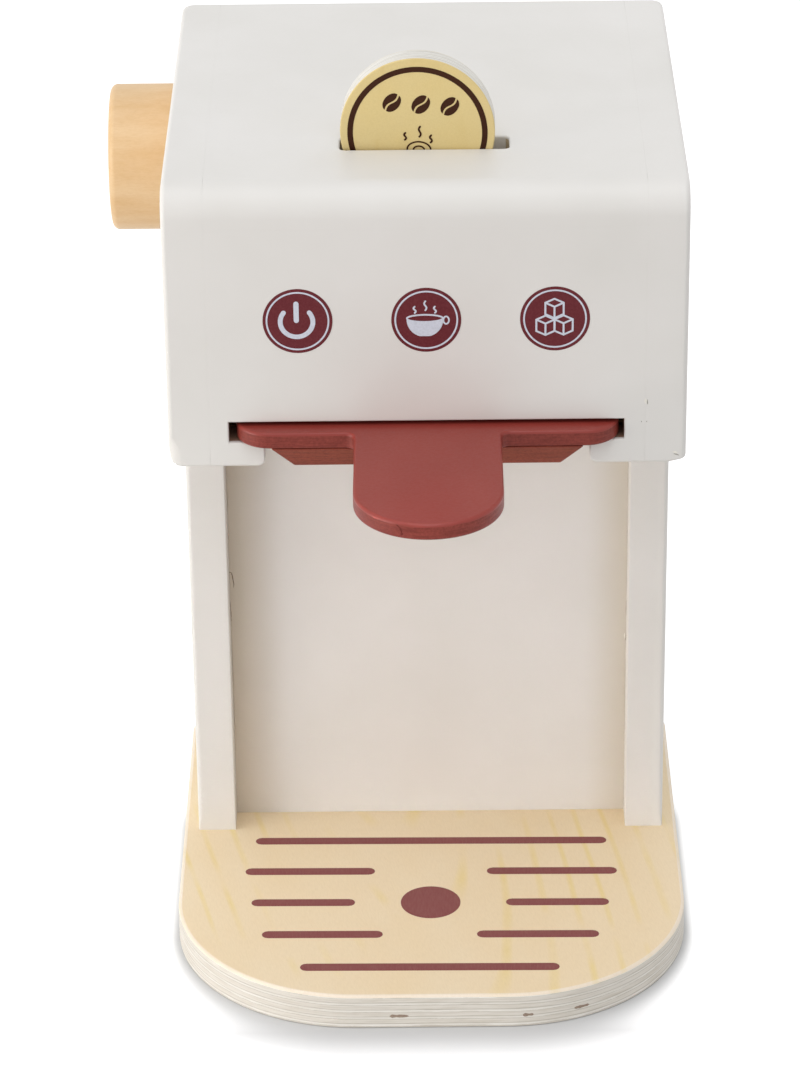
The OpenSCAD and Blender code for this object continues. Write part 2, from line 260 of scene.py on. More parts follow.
def placed(outline, centre=(0, 0), turn=0.0, scale=1.0):
    """The outline scaled, turned by degrees and moved"""
    c, s = math.cos(math.radians(turn)) * scale, math.sin(math.radians(turn)) * scale
    return [Vector((centre[0] + c * p[0] - s * p[1], centre[1] + s * p[0] + c * p[1])) for p in outline]


# A crack's edges: steps between two of its points, width at its ends as a share of the full width, and
# how far and how often in a millimetre the width wanders
CRACK_STEPS = 4
CRACK_END = 0.2
CRACK_WANDER = 0.6
CRACK_WAVES = 1.7


def crack(points, width, taper=0.6):
    """The outline of a ragged line that thins out at both ends, from points in millimetres"""
    points = [Vector(p) for p in points]
    fine = [here.lerp(after, i / CRACK_STEPS)
            for here, after in zip(points, points[1:]) for i in range(CRACK_STEPS)]
    fine.append(points[-1])
    left, right = [], []
    for i, here in enumerate(fine):
        along = (fine[min(i + 1, len(fine) - 1)] - fine[max(i - 1, 0)]).normalized()
        swell = CRACK_END + (1 - CRACK_END) * math.sin(math.pi * i / (len(fine) - 1)) ** taper
        wander = noise.noise(Vector((here.x * CRACK_WAVES, here.y * CRACK_WAVES, width)))
        half = width / 2 * swell * (1 + CRACK_WANDER * wander)
        left.append(here + Vector((-along.y, along.x)) * half)
        right.append(here - Vector((-along.y, along.x)) * half)
    return [p * MM for p in right + left[::-1]]


# ---------------------------------------------------------------- meshes

# Faces that meet at more than this angle keep a sharp edge between them
SHARP_ANGLE = math.radians(50)
# Faces round a turned piece
TURNED_SIDES = 128


def even(radius):
    """A rim that has the same radius all round"""
    return lambda u, v: radius


def hand_sanded(radius, share=0.15, wavelength=12 * MM):
    """A rim whose radius wanders a little, as sanding by hand leaves it"""
    return lambda u, v: radius * (1 + share * noise.noise(Vector((u, v, radius)) / wavelength))


def rim_rings(outline, rim, level, inwards, steps):
    """The rings of a rounded rim, from the cap's edge to the wall, as (points, heights)"""
    count = len(outline)
    radii = []
    for i, here in enumerate(outline):
        middle = (here + outline[(i + 1) % count]) / 2
        radii.append(rim(middle.x, middle.y))
    tall = [max(radii[i - 1], radii[i]) for i in range(count)]
    rings = []
    for k in range(steps + 1):
        angle = math.radians(90 * k / steps)
        points = inset(outline, [r * (1 - math.sin(angle)) for r in radii])
        heights = [level + inwards * r * (1 - math.cos(angle)) for r in tall]
        rings.append((points, heights))
    return rings


def add_board(bm, axes, outline, low, high, rim_low, rim_high, holes=(), wall=(), hole_wall=(), steps=4):
    """Adds a board: an outline in the first two of axes, from low to high along the third.

    Its two rims are rounded by what rim_low and rim_high say at each place. wall lists (height, inset)
    pairs between them, hole_wall does so for the holes, and wall faces get the second material.
    """
    places = ["xyz".index(a) for a in axes]
    flipped = axes in ("xzy", "yxz", "zyx")
    cap_edges = {0: [], 1: []}
    for loop in (outline, *holes):
        count = len(loop)
        rings = rim_rings(loop, rim_low, low, 1, steps)
        levels = wall if loop is outline else hole_wall
        rings += [(inset(loop, [depth] * count), [height] * count) for height, depth in levels]
        rings += rim_rings(loop, rim_high, high, -1, steps)[::-1]
        rows = []
        for points, heights in rings:
            row = []
            for point, height in zip(points, heights):
                co = [0, 0, 0]
                co[places[0]], co[places[1]], co[places[2]] = point.x, point.y, height
                row.append(bm.verts.new(co))
            rows.append(row)
        for below, above in zip(rows, rows[1:]):
            for i in range(count):
                j = (i + 1) % count
                corners = [below[i], below[j], above[j], above[i]]
                face = bm.faces.new(corners[::-1] if flipped else corners)
                face.material_index = 1
        for cap, row in enumerate((rows[0], rows[-1])):
            cap_edges[cap] += [bm.edges.get((row[i - 1], row[i])) for i in range(count)]
    for edges in cap_edges.values():
        bmesh.ops.triangle_fill(bm, edges=edges, use_beauty=True)


def add_film(bm, outline, place, low=-0.02 * MM, high=0.03 * MM):
    """Adds a thin closed film: an outline (u, v) laid on the surface that place(u, v, lift) gives"""
    rings = [[bm.verts.new(place(p[0], p[1], lift)) for p in outline] for lift in (low, high)]
    for i in range(len(outline)):
        j = (i + 1) % len(outline)
        bm.faces.new((rings[0][i], rings[0][j], rings[1][j], rings[1][i]))
    for ring in rings:
        edges = [bm.edges.get((ring[i - 1], ring[i])) for i in range(len(ring))]
        bmesh.ops.triangle_fill(bm, edges=edges, use_beauty=True)


def finished_piece(bm, name, body, materials, replaces=(), smooth=True):
    """Turns the mesh into a piece that rides on a body, with shading that keeps its flat faces flat"""
    bmesh.ops.recalc_face_normals(bm, faces=bm.faces)
    for edge in bm.edges:
        edge.smooth = edge.calc_face_angle(0) < SHARP_ANGLE
    mesh = bpy.data.meshes.new(name)
    bm.to_mesh(mesh)
    bm.free()
    for material in materials:
        mesh.materials.append(material)
    for polygon in mesh.polygons:
        polygon.use_smooth = smooth
        polygon.material_index = min(polygon.material_index, len(materials) - 1)
    obj = bpy.data.objects.new(name, mesh)
    bpy.context.scene.collection.objects.link(obj)
    if smooth:
        weighted = obj.modifiers.new("Flat faces stay flat", "WEIGHTED_NORMAL")
        weighted.weight = 100
        weighted.keep_sharp = True
    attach(obj, body)
    if replaces:
        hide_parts(*replaces)
    return obj


def turned_piece(profile, centre, name, body, materials, replaces):
    """A piece turned about an axis along X: profile lists (x, radius), and starts and ends on the axis"""
    bm = bmesh.new()
    rows = []
    for x, radius in profile:
        if radius == 0:
            rows.append([bm.verts.new((x, centre.y, centre.z))])
            continue
        rows.append([
            bm.verts.new((x, centre.y + radius * math.cos(a), centre.z + radius * math.sin(a)))
            for a in (math.tau * i / TURNED_SIDES for i in range(TURNED_SIDES))
        ])
    for here, after in zip(rows, rows[1:]):
        for i in range(TURNED_SIDES):
            j = (i + 1) % TURNED_SIDES
            corners = [row[k % len(row)] for row, k in ((here, i), (here, j), (after, j), (after, i))]
            bm.faces.new(list(dict.fromkeys(corners)))
    return finished_piece(bm, name, body, materials, replaces)


# ---------------------------------------------------------------- materials

def linear(hex_colour):
    """An sRGB hex colour as the linear colour that the shader wants"""
    parts = [int(hex_colour[i:i + 2], 16) / 255 for i in (1, 3, 5)]
    return tuple(c / 12.92 if c <= 0.04045 else ((c + 0.055) / 1.055) ** 2.4 for c in parts) + (1.0,)


WHITE = linear("#ffffff")

# Shader mix node: settings for mixing and for tinting colours, and its two colour inputs
MIXING = {"data_type": "RGBA"}
TINTING = {"data_type": "RGBA", "blend_type": "MULTIPLY"}
MIX_A, MIX_B = 6, 7

# Specular level of paint, lacquer and ink that are sanded or matt on a fine scale
SOFT_SPECULAR = 0.35

# A wave texture of scale 1 repeats this many times in a metre
WAVE_UNIT = math.tau / 20

# How far the streaks bend the glue lines of plywood, as a share of a ply
PLY_WAVE = 0.3


def add_node(tree, kind, inputs=None, stops=(), **settings):
    """Adds a shader node with its settings, its inputs and, for a ramp, its (position, colour) stops.

    An input takes a value, a socket or a node, and a node is linked by its first output in use.
    """
    made = tree.nodes.new(kind)
    for key, value in settings.items():
        setattr(made, key, value)
    for key, value in (inputs or {}).items():
        if isinstance(value, bpy.types.Node):
            value = next(output for output in value.outputs if output.enabled)
        if isinstance(value, bpy.types.NodeSocket):
            tree.links.new(value, made.inputs[key])
        else:
            made.inputs[key].default_value = value
    for place, (position, colour) in enumerate(stops):
        elements = made.color_ramp.elements
        element = elements[place] if place < len(elements) else elements.new(position)
        element.position = position
        element.color = colour
    return made


def new_material(name):
    """An empty material: itself, its nodes and the object's own coordinates"""
    material = bpy.data.materials.new(name)
    material.use_nodes = True
    tree = material.node_tree
    tree.nodes.clear()
    return material, tree, add_node(tree, "ShaderNodeTexCoord").outputs["Object"]


def add_surface(tree, inputs, relief=None, depth=0.0):
    """Ends a material with its shader and, where it has one, a relief of a real depth"""
    surface = {"Specular IOR Level": SOFT_SPECULAR, **inputs}
    if relief is not None:
        surface["Normal"] = add_node(tree, "ShaderNodeBump", {"Height": relief, "Distance": depth})
    shader = add_node(tree, "ShaderNodeBsdfPrincipled", surface)
    add_node(tree, "ShaderNodeOutputMaterial", {"Surface": shader})


def per_metre(*sizes):
    """The scale of a pattern that repeats once in a real size, or once in a size along each axis"""
    return 1 / sizes[0] if len(sizes) == 1 else [1 / size for size in sizes]


def spray_painted_acrylic(name, main, shade, orange_peel=0.9 * MM, depth=0.012 * MM, roughness=0.42,
                          starved=()):
    """Satin acrylic paint sprayed on sanded board.

    Spraying leaves a fine orange peel that softens highlights, and the film is a touch thicker and
    thinner in places, which shows as faint clouds of tone. The last argument lists places of painted
    shade (x where it is darkest, x where it ends, tint): a painted shadow, as a board beside the surface
    would cast.
    """
    material, tree, coordinates = new_material(name)
    clouds = add_node(tree, "ShaderNodeTexNoise", {
        "Vector": coordinates, "Scale": per_metre(38 * MM), "Detail": 3.0, "Roughness": 0.55})
    tone = add_node(tree, "ShaderNodeValToRGB", {"Fac": clouds}, stops=((0.3, shade), (0.7, main)))
    # Painted shade: towards each listed place the colour is tinted darker, as a shadow would darken it
    for shaded_x, lit_x, tint in starved:
        across = add_node(tree, "ShaderNodeSeparateXYZ", {"Vector": coordinates}).outputs["X"]
        thin = add_node(tree, "ShaderNodeMapRange", {
            "Value": across, "From Min": shaded_x, "From Max": lit_x, "To Min": 1.0, "To Max": 0.0,
        }, interpolation_type="SMOOTHSTEP")
        tone = add_node(tree, "ShaderNodeMix", {0: thin, MIX_A: tone, MIX_B: tint}, **TINTING)
    peel = add_node(tree, "ShaderNodeTexNoise", {
        "Vector": coordinates, "Scale": per_metre(orange_peel), "Detail": 2.0, "Roughness": 0.5})
    gloss = add_node(tree, "ShaderNodeMapRange", {
        "Value": peel, "From Min": 0.3, "From Max": 0.7,
        "To Min": roughness - 0.05, "To Max": roughness + 0.06})
    add_surface(tree, {"Base Color": tone, "Roughness": gloss}, peel, depth)
    return material


def painted_ply_edge(name, main, shade):
    """Satin acrylic on the edge of plywood.

    The end grain drinks the paint in, so it is darker and duller than on the faces, and the plies show
    through as fine level lines with rough specks between them.
    """
    material, tree, coordinates = new_material(name)
    level = add_node(tree, "ShaderNodeMapping", {
        "Vector": coordinates, "Scale": per_metre(7 * MM, 7 * MM, 0.45 * MM)})
    lines = add_node(tree, "ShaderNodeTexNoise", {
        "Vector": level, "Scale": 1.0, "Detail": 3.0, "Roughness": 0.6})
    specks = add_node(tree, "ShaderNodeTexNoise", {
        "Vector": coordinates, "Scale": per_metre(0.7 * MM), "Detail": 3.0, "Roughness": 0.7})
    tone = add_node(tree, "ShaderNodeValToRGB", {"Fac": lines}, stops=((0.38, shade), (0.62, main)))
    rough = add_node(tree, "ShaderNodeValToRGB", {"Fac": specks},
                     stops=((0.32, linear("#d8c8c4")), (0.6, WHITE)))
    colour = add_node(tree, "ShaderNodeMix", {0: 0.8, MIX_A: tone, MIX_B: rough}, **TINTING)
    relief = add_node(tree, "ShaderNodeMath", {0: lines, 1: specks}, operation="ADD")
    add_surface(tree, {"Base Color": colour, "Roughness": 0.5, "Specular IOR Level": 0.28},
                relief, 0.04 * MM)
    return material


def birch_veneer(name, main, warm, line, centre, squeeze, ring, lean=0.0):
    """Rotary-cut birch veneer under clear satin lacquer.

    Peeling the log lays its growth rings out as wide nested ovals that point along the grain, with
    faint darker lines, and the lacquer gives them an even soft gloss. The ovals lie about centre with
    their axes squeezed, each ring as wide as ring, and the grain leans by an angle in degrees.
    """
    material, tree, coordinates = new_material(name)
    grain = add_node(tree, "ShaderNodeMapping", {
        "Vector": coordinates, "Rotation": (0, 0, math.radians(lean))})
    ovals = add_node(tree, "ShaderNodeMapping", {
        "Vector": grain, "Location": [-c * s for c, s in zip(centre, squeeze)], "Scale": squeeze})
    rings = add_node(tree, "ShaderNodeTexWave", {
        "Vector": ovals, "Scale": per_metre(ring) * WAVE_UNIT, "Distortion": 7.0,
        "Detail": 3.0, "Detail Scale": 0.3, "Detail Roughness": 0.6,
    }, wave_type="RINGS", rings_direction="SPHERICAL", wave_profile="SIN")
    lines = add_node(tree, "ShaderNodeValToRGB", {"Fac": rings.outputs["Fac"]},
                     stops=((0.84, main), (1.0, line)))
    fading = add_node(tree, "ShaderNodeTexNoise", {"Vector": grain, "Scale": per_metre(30 * MM)})
    here = add_node(tree, "ShaderNodeMapRange", {"Value": fading, "From Min": 0.46, "From Max": 0.66})
    tone = add_node(tree, "ShaderNodeMix", {0: here, MIX_A: main, MIX_B: lines}, **MIXING)
    along = add_node(tree, "ShaderNodeMapping", {
        "Vector": grain, "Scale": per_metre(17 * MM, 42 * MM, 17 * MM)})
    patches = add_node(tree, "ShaderNodeTexNoise", {
        "Vector": along, "Scale": 1.0, "Detail": 4.0, "Roughness": 0.6})
    warmed = add_node(tree, "ShaderNodeMix", {0: patches, MIX_A: tone, MIX_B: warm}, **TINTING)
    # Birch's own pores are too fine to show, so these are drawn coarser
    fine = add_node(tree, "ShaderNodeMapping", {
        "Vector": grain, "Scale": per_metre(0.4 * MM, 2.4 * MM, 0.4 * MM)})
    pores = add_node(tree, "ShaderNodeTexNoise", {
        "Vector": fine, "Scale": 1.0, "Detail": 2.0, "Roughness": 0.6})
    speckle = add_node(tree, "ShaderNodeValToRGB", {"Fac": pores},
                       stops=((0.3, linear("#f1eee8")), (0.62, WHITE)))
    colour = add_node(tree, "ShaderNodeMix", {0: 0.35, MIX_A: warmed, MIX_B: speckle}, **TINTING)
    gloss = add_node(tree, "ShaderNodeMapRange", {"Value": pores, "To Min": 0.4, "To Max": 0.55})
    add_surface(tree, {"Base Color": colour, "Roughness": gloss}, pores, 0.006 * MM)
    return material


def birch_ply_edge(name, across, low, thickness, plies, pale, grey, glue):
    """The sawn and sanded edge of birch plywood, whose plies lie across one axis.

    Long-grain plies show pale and thin, end-grain plies a little greyer and thicker, with fine glue
    lines between them, and short streaks run along each ply.
    """
    material, tree, coordinates = new_material(name)
    sizes = [0.5 * MM if axis == across else 9 * MM for axis in "XYZ"]
    level = add_node(tree, "ShaderNodeMapping", {"Vector": coordinates, "Scale": per_metre(*sizes)})
    streaks = add_node(tree, "ShaderNodeTexNoise", {
        "Vector": level, "Scale": 1.0, "Detail": 3.0, "Roughness": 0.65})
    height = add_node(tree, "ShaderNodeSeparateXYZ", {"Vector": coordinates}).outputs[across]
    # The count of plies from the low side, which the streaks make a little wavy
    wave = add_node(tree, "ShaderNodeMath", {
        0: streaks, 1: PLY_WAVE, 2: -PLY_WAVE / 2 - low * plies / thickness}, operation="MULTIPLY_ADD")
    count = add_node(tree, "ShaderNodeMath", {
        0: height, 1: plies / thickness, 2: wave}, operation="MULTIPLY_ADD")
    inside = add_node(tree, "ShaderNodeClamp", {
        "Value": count, "Min": PLY_WAVE / 2, "Max": plies - PLY_WAVE / 2})
    within = add_node(tree, "ShaderNodeMath", {0: inside, 1: 2.0, 2: 0.5}, operation="WRAP")
    pair = add_node(tree, "ShaderNodeMapRange", {"Value": within, "From Max": 2.0})
    bands = add_node(tree, "ShaderNodeValToRGB", {"Fac": pair}, stops=(
        (0.0, glue), (0.06, pale), (0.44, pale), (0.5, glue), (0.56, grey), (0.94, grey), (1.0, glue)))
    tint = add_node(tree, "ShaderNodeValToRGB", {"Fac": streaks},
                    stops=((0.3, linear("#e2ded6")), (0.6, WHITE)))
    colour = add_node(tree, "ShaderNodeMix", {0: 0.6, MIX_A: bands, MIX_B: tint}, **TINTING)
    add_surface(tree, {"Base Color": colour, "Roughness": 0.62}, streaks, 0.05 * MM)
    return material


def sanded_beech(name, main, dark, along="X", roughness=0.5, fleck=0.75):
    """Beech, turned or planed, sanded and left with a thin clear coat.

    The wood has soft bands along the grain and short fine flecks, with a low even sheen.
    """
    material, tree, coordinates = new_material(name)
    band_sizes = [26 * MM if axis == along else 5.5 * MM for axis in "XYZ"]
    fleck_sizes = [1.6 * MM if axis == along else 0.4 * MM for axis in "XYZ"]
    stretched = add_node(tree, "ShaderNodeMapping", {
        "Vector": coordinates, "Scale": per_metre(*band_sizes)})
    bands = add_node(tree, "ShaderNodeTexNoise", {
        "Vector": stretched, "Scale": 1.0, "Detail": 4.0, "Roughness": 0.6})
    tone = add_node(tree, "ShaderNodeValToRGB", {"Fac": bands}, stops=((0.32, dark), (0.66, main)))
    fine = add_node(tree, "ShaderNodeMapping", {
        "Vector": coordinates, "Scale": per_metre(*fleck_sizes)})
    flecks = add_node(tree, "ShaderNodeTexNoise", {
        "Vector": fine, "Scale": 1.0, "Detail": 2.0, "Roughness": 0.7})
    speckle = add_node(tree, "ShaderNodeValToRGB", {"Fac": flecks},
                       stops=((0.3, linear("#eee4d8")), (0.6, WHITE)))
    colour = add_node(tree, "ShaderNodeMix", {0: fleck, MIX_A: tone, MIX_B: speckle}, **TINTING)
    add_surface(tree, {"Base Color": colour, "Roughness": roughness}, flecks, 0.01 * fleck * MM)
    return material


def matt_film(name, main, thin, grain=(0.5 * MM, 0.5 * MM, 0.5 * MM), roughness=0.5):
    """A thin matt film: printed ink, or the dust or bare primer that a flaw lays open.

    The film is slightly uneven, so what it lies on shows through as fine mottling.
    """
    material, tree, coordinates = new_material(name)
    fine = add_node(tree, "ShaderNodeMapping", {"Vector": coordinates, "Scale": per_metre(*grain)})
    mottle = add_node(tree, "ShaderNodeTexNoise", {
        "Vector": fine, "Scale": 1.0, "Detail": 3.0, "Roughness": 0.6})
    colour = add_node(tree, "ShaderNodeValToRGB", {"Fac": mottle}, stops=((0.3, thin), (0.62, main)))
    add_surface(tree, {"Base Color": colour, "Roughness": roughness, "Specular IOR Level": 0.15})
    return material


def zinc_plated_steel(name):
    """Zinc-plated steel screws: a cool grey metal with small crystals that blur its highlights"""
    material, tree, coordinates = new_material(name)
    # The plating's own crystals are too fine to show, so these are drawn coarser
    crystals = add_node(tree, "ShaderNodeTexVoronoi", {
        "Vector": coordinates, "Scale": per_metre(0.8 * MM)})
    colour = add_node(tree, "ShaderNodeValToRGB", {"Fac": crystals},
                      stops=((0.2, linear("#b4b8bd")), (0.8, linear("#c9ccd0"))))
    add_surface(tree, {"Base Color": colour, "Metallic": 1.0, "Roughness": 0.34})
    return material


def made_once(name, make, *args, **settings):
    """A material by name, made the first time that a piece asks for it"""
    return bpy.data.materials.get(name) or make(name, *args, **settings)


# ---------------------------------------------------------------- what a user may change

def length_property(name, description, default):
    """A length, in metres"""
    return bpy.props.FloatProperty(name=name, description=description, default=default, min=0.0,
                                   unit="LENGTH")


def colour_property(name, description, default):
    """A colour, from its sRGB hex value"""
    return bpy.props.FloatVectorProperty(name=name, description=description, default=linear(default),
                                         size=4, subtype="COLOR", min=0.0, max=1.0)


def strength_property(name, description, default, unit="NONE"):
    """The strength of a light"""
    return bpy.props.FloatProperty(name=name, description=description, default=default, min=0.0,
                                   unit=unit)


class BoardSettings(bpy.types.PropertyGroup):
    """The painted boards of the housing"""
    paint: colour_property("Paint", "Off-white of the boards", "#e6e3df")
    paint_shade: colour_property("Paint, thin", "Off-white where the paint film is thinner", "#e1ded9")
    edge_rim: length_property("Edge rounding", "Radius of the sanded outer edges", 1.3 * MM)
    bay_rim: length_property("Bay edges", "Radius of the side boards' edges in the cup bay", 0.39 * MM)
    worn_rim: length_property("Worn corner", "Radius at the head's lower left edge", 3.4 * MM)
    sanded_slope: length_property("Sanded slope", "Rise of the head's lower right corner", 1.0 * MM)
    seam_rim: length_property("Seam", "Radius of the edges that meet in a painted seam", 0.03 * MM)
    slot_rim: length_property("Slot edges", "Radius of the edges around the tray's slot", 0.45 * MM)
    token_slot_rim: length_property("Token slot edges", "Radius of the token slot's edges", 0.63 * MM)
    token_slot_r: length_property("Token slot corners", "Radius of the token slot's corners", 1.6 * MM)
    recess_gap: length_property("Recess gap", "Widest hairline gap beside the recess board", 0.3 * MM)


class BaseSettings(bpy.types.PropertyGroup):
    """The plywood base and the drip grid that is printed on it"""
    veneer: colour_property("Veneer", "Main colour of the lacquered face", "#efdec0")
    veneer_warm: colour_property("Veneer, warm", "Tint of the warmer patches", "#fbf3e4")
    veneer_line: colour_property("Growth lines", "Colour of the growth lines", "#ecd9a4")
    rim: length_property("Rim", "Radius of the sanded rims", 1.0 * MM)
    plies: bpy.props.IntProperty(name="Plies", description="Number of plies in the base board",
                                 default=7, min=3)
    ink: colour_property("Drip grid ink", "Colour of the drip grid", "#864c4b")
    line_w: length_property("Grid line", "Width of the drip grid's lines", 3.6 * MM)
    pitch: length_property("Grid pitch", "Distance between the drip grid's lines", 16.8 * MM)


class TraySettings(bpy.types.PropertyGroup):
    """The tray that pulls out of the head"""
    paint: colour_property("Paint", "Brick red of the plate", "#933b33")
    paint_shade: colour_property("Paint, thin", "Brick red where the paint film is thinner", "#8c362e")
    edge_paint: colour_property("Edge paint", "Darker red where the plate's edges drink it in", "#8b3c32")
    # The block's browner red is painted warm light that the wooden base bounces onto it
    block_paint_with_bounce: colour_property("Block paint", "Browner red of the block under the plate", "#914130")
    rim: length_property("Edge rounding", "Radius of the plate's edges", 0.8 * MM)


class KnobSettings(bpy.types.PropertyGroup):
    """The knob on the left side"""
    wood: colour_property("Wood", "Lighter colour of the knob", "#e5c59a")
    wood_dark: colour_property("Wood, bands", "Darker colour of the knob's bands", "#dcb685")
    rim: length_property("Outer rim", "Radius of the knob's outer rim", 1.9 * MM)
    dome: length_property("Dome", "How far the knob's end face bulges", 0.35 * MM)
    proud: length_property("Proud", "How much the finished knob is longer than its blank", 0.4 * MM)


class TokenSettings(bpy.types.PropertyGroup):
    """The token in the top slot and its print"""
    veneer: colour_property("Veneer", "Main colour of the token's faces", "#e5d29c")
    ink: colour_property("Ink", "Dark brown of the print", "#3e200f")
    rim: length_property("Rim", "Radius of the token's rims", 0.3 * MM)
    print_turn: bpy.props.FloatProperty(name="Print turn", description="How far the print is turned",
                                        default=math.radians(-4.0), subtype="ANGLE")


class PictogramSettings(bpy.types.PropertyGroup):
    """The three round pictograms on the head"""
    ink: colour_property("Ink", "Burgundy of the discs", "#64262c")
    light_ink: colour_property("Light ink", "Colour of the lines", "#d6dae6")
    disc_d: length_property("Disc", "Diameter of the discs", 18.0 * MM)
    pitch: length_property("Pitch", "Distance between the discs", 33.1 * MM)
    height: length_property("Height", "Height of the discs' centres above the floor", 203.9 * MM)


class StageSettings(bpy.types.PropertyGroup):
    """Floor, lamps and camera"""
    floor: colour_property("Floor", "Colour of the floor", "#cacaca")
    glow: strength_property("Floor glow", "Light that only the camera sees on the floor", 0.66)
    # The glow dies away within this width of the base, which paints a darker contact shadow round it
    painted_shadow_width: length_property("Glow's fade", "Width beside the base in which the glow dies away", 21 * MM)
    overhead: strength_property("Overhead light", "Strength of the soft light from above", 0.9)
    front: strength_property("Front lamp", "Power of the low soft box on the left in front", 6.7, "POWER")
    bay: strength_property("Bay lamp", "Power of the lamp that shines under the head", 0.005, "POWER")
    base: strength_property("Base lamp", "Power of the lamp that shines on the base", 0.009, "POWER")
    sky: strength_property("Surroundings", "Strength of the light from all round", 0.7)


GROUPS = {
    "coffee_boards": BoardSettings,
    "coffee_base": BaseSettings,
    "coffee_tray": TraySettings,
    "coffee_knob": KnobSettings,
    "coffee_token": TokenSettings,
    "coffee_pictograms": PictogramSettings,
    "coffee_stage": StageSettings,
}


def board_paint(boards):
    """The off-white paint that the housing's boards share"""
    return made_once("satin_acrylic_off_white", spray_painted_acrylic, boards.paint, boards.paint_shade)


def inner_beech(along):
    """Beech of the inner parts, with its grain along an axis"""
    return made_once("planed_beech_along_" + along.lower(), sanded_beech,
                     linear("#dcb68a"), linear("#cfa678"), along, roughness=0.6)


# ---------------------------------------------------------------- the boards of the housing

# Height of a side board's foot, where its edges stay tight to the base
FOOT_H = 2 * MM
# Height of the worn place at the head's lower left edge
WORN_H = 5 * MM
# Radius of the edges along the top of the back
BACK_EDGE_R = 0.4 * MM
# Radius of edges that another board lies flush against, and of edges that another board hides
FLUSH_R = 0.02 * MM
HIDDEN_R = 0.2 * MM


def side_rim(boards, is_left):
    """Rim radius of a side board's outer face at a place (y, z)"""
    edge = hand_sanded(boards.edge_rim)

    def radius(y, z):
        """Tight at the foot, worn at the head's lower left edge and round along the back corner"""
        if z < BASE_HIGH.z + FOOT_H:
            return boards.slot_rim
        if is_left and FRONT_LOW.z - MM < z < FRONT_LOW.z + WORN_H and y < COLUMN_FRONT_Y:
            return boards.worn_rim
        if y > REAR_HIGH.y - MM:
            return REAR_CORNER_R
        return edge(y, z)

    return radius


def inner_rim(boards):
    """Rim radius of a side board's inner face: sanded where it shows in the cup bay, tight in the seams"""
    def radius(y, z):
        """Wider within the bay's height and depth"""
        in_bay = BASE_HIGH.z + FOOT_H < z < FRONT_LOW.z - FOOT_H and y < RECESS_LOW.y
        return boards.bay_rim if in_bay else boards.seam_rim

    return radius


class MESH_OT_coffee_side_boards(bpy.types.Operator):
    """Both side boards: a column that carries one side of the head, sprayed and sanded"""
    bl_idname = "mesh.coffee_side_boards"
    bl_label = "Side boards"

    # Width and height of the sanded slope at the head's lower right corner
    SLOPE_W = 4.5 * MM
    SLOPE_H = 4 * MM

    def execute(self, context):
        boards = context.scene.coffee_boards
        paint = board_paint(boards)
        corners = [
            (COLUMN_FRONT_Y, LEFT_LOW.z, 0), (LEFT_HIGH.y, LEFT_LOW.z, 0),
            (LEFT_HIGH.y, LEFT_HIGH.z, BACK_EDGE_R), (LEFT_LOW.y, LEFT_HIGH.z, HEAD_TOP_R),
            (LEFT_LOW.y, FRONT_LOW.z - HEAD_DROP, HEAD_LOW_R), (COLUMN_FRONT_Y, FRONT_LOW.z - HEAD_DROP, 0),
        ]
        outline = paced(rounded(corners), spacing=4 * MM)
        axle_r = (AXLE_HIGH.z - AXLE_LOW.z) / 2 + AXLE_GAP
        axle_z = (AXLE_HIGH.z + AXLE_LOW.z) / 2
        axle_y = (AXLE_HIGH.y + AXLE_LOW.y) / 2
        bore = circle((axle_y, axle_z), axle_r)[::-1]

        left = bmesh.new()
        add_board(left, "yzx", outline, LEFT_LOW.x, LEFT_HIGH.x, side_rim(boards, True),
                  inner_rim(boards), holes=[bore])
        finished_piece(left, "left_side_board", "housing", [paint],
                       ["side_board_left"])

        right = bmesh.new()
        slope_x = RIGHT_HIGH.x - self.SLOPE_W
        add_board(right, "yzx", outline, RIGHT_LOW.x, RIGHT_HIGH.x, inner_rim(boards),
                  side_rim(boards, False), wall=[(slope_x, 0)])
        for vert in right.verts:
            below = 1 - (vert.co.z - FRONT_LOW.z) / self.SLOPE_H
            if vert.co.x > slope_x and vert.co.y < COLUMN_FRONT_Y - NEAR and below > 0:
                vert.co.z += below * boards.sanded_slope * (vert.co.x - slope_x) / self.SLOPE_W
        finished_piece(right, "right_side_board", "housing", [paint],
                       ["side_board_right"])
        return {"FINISHED"}


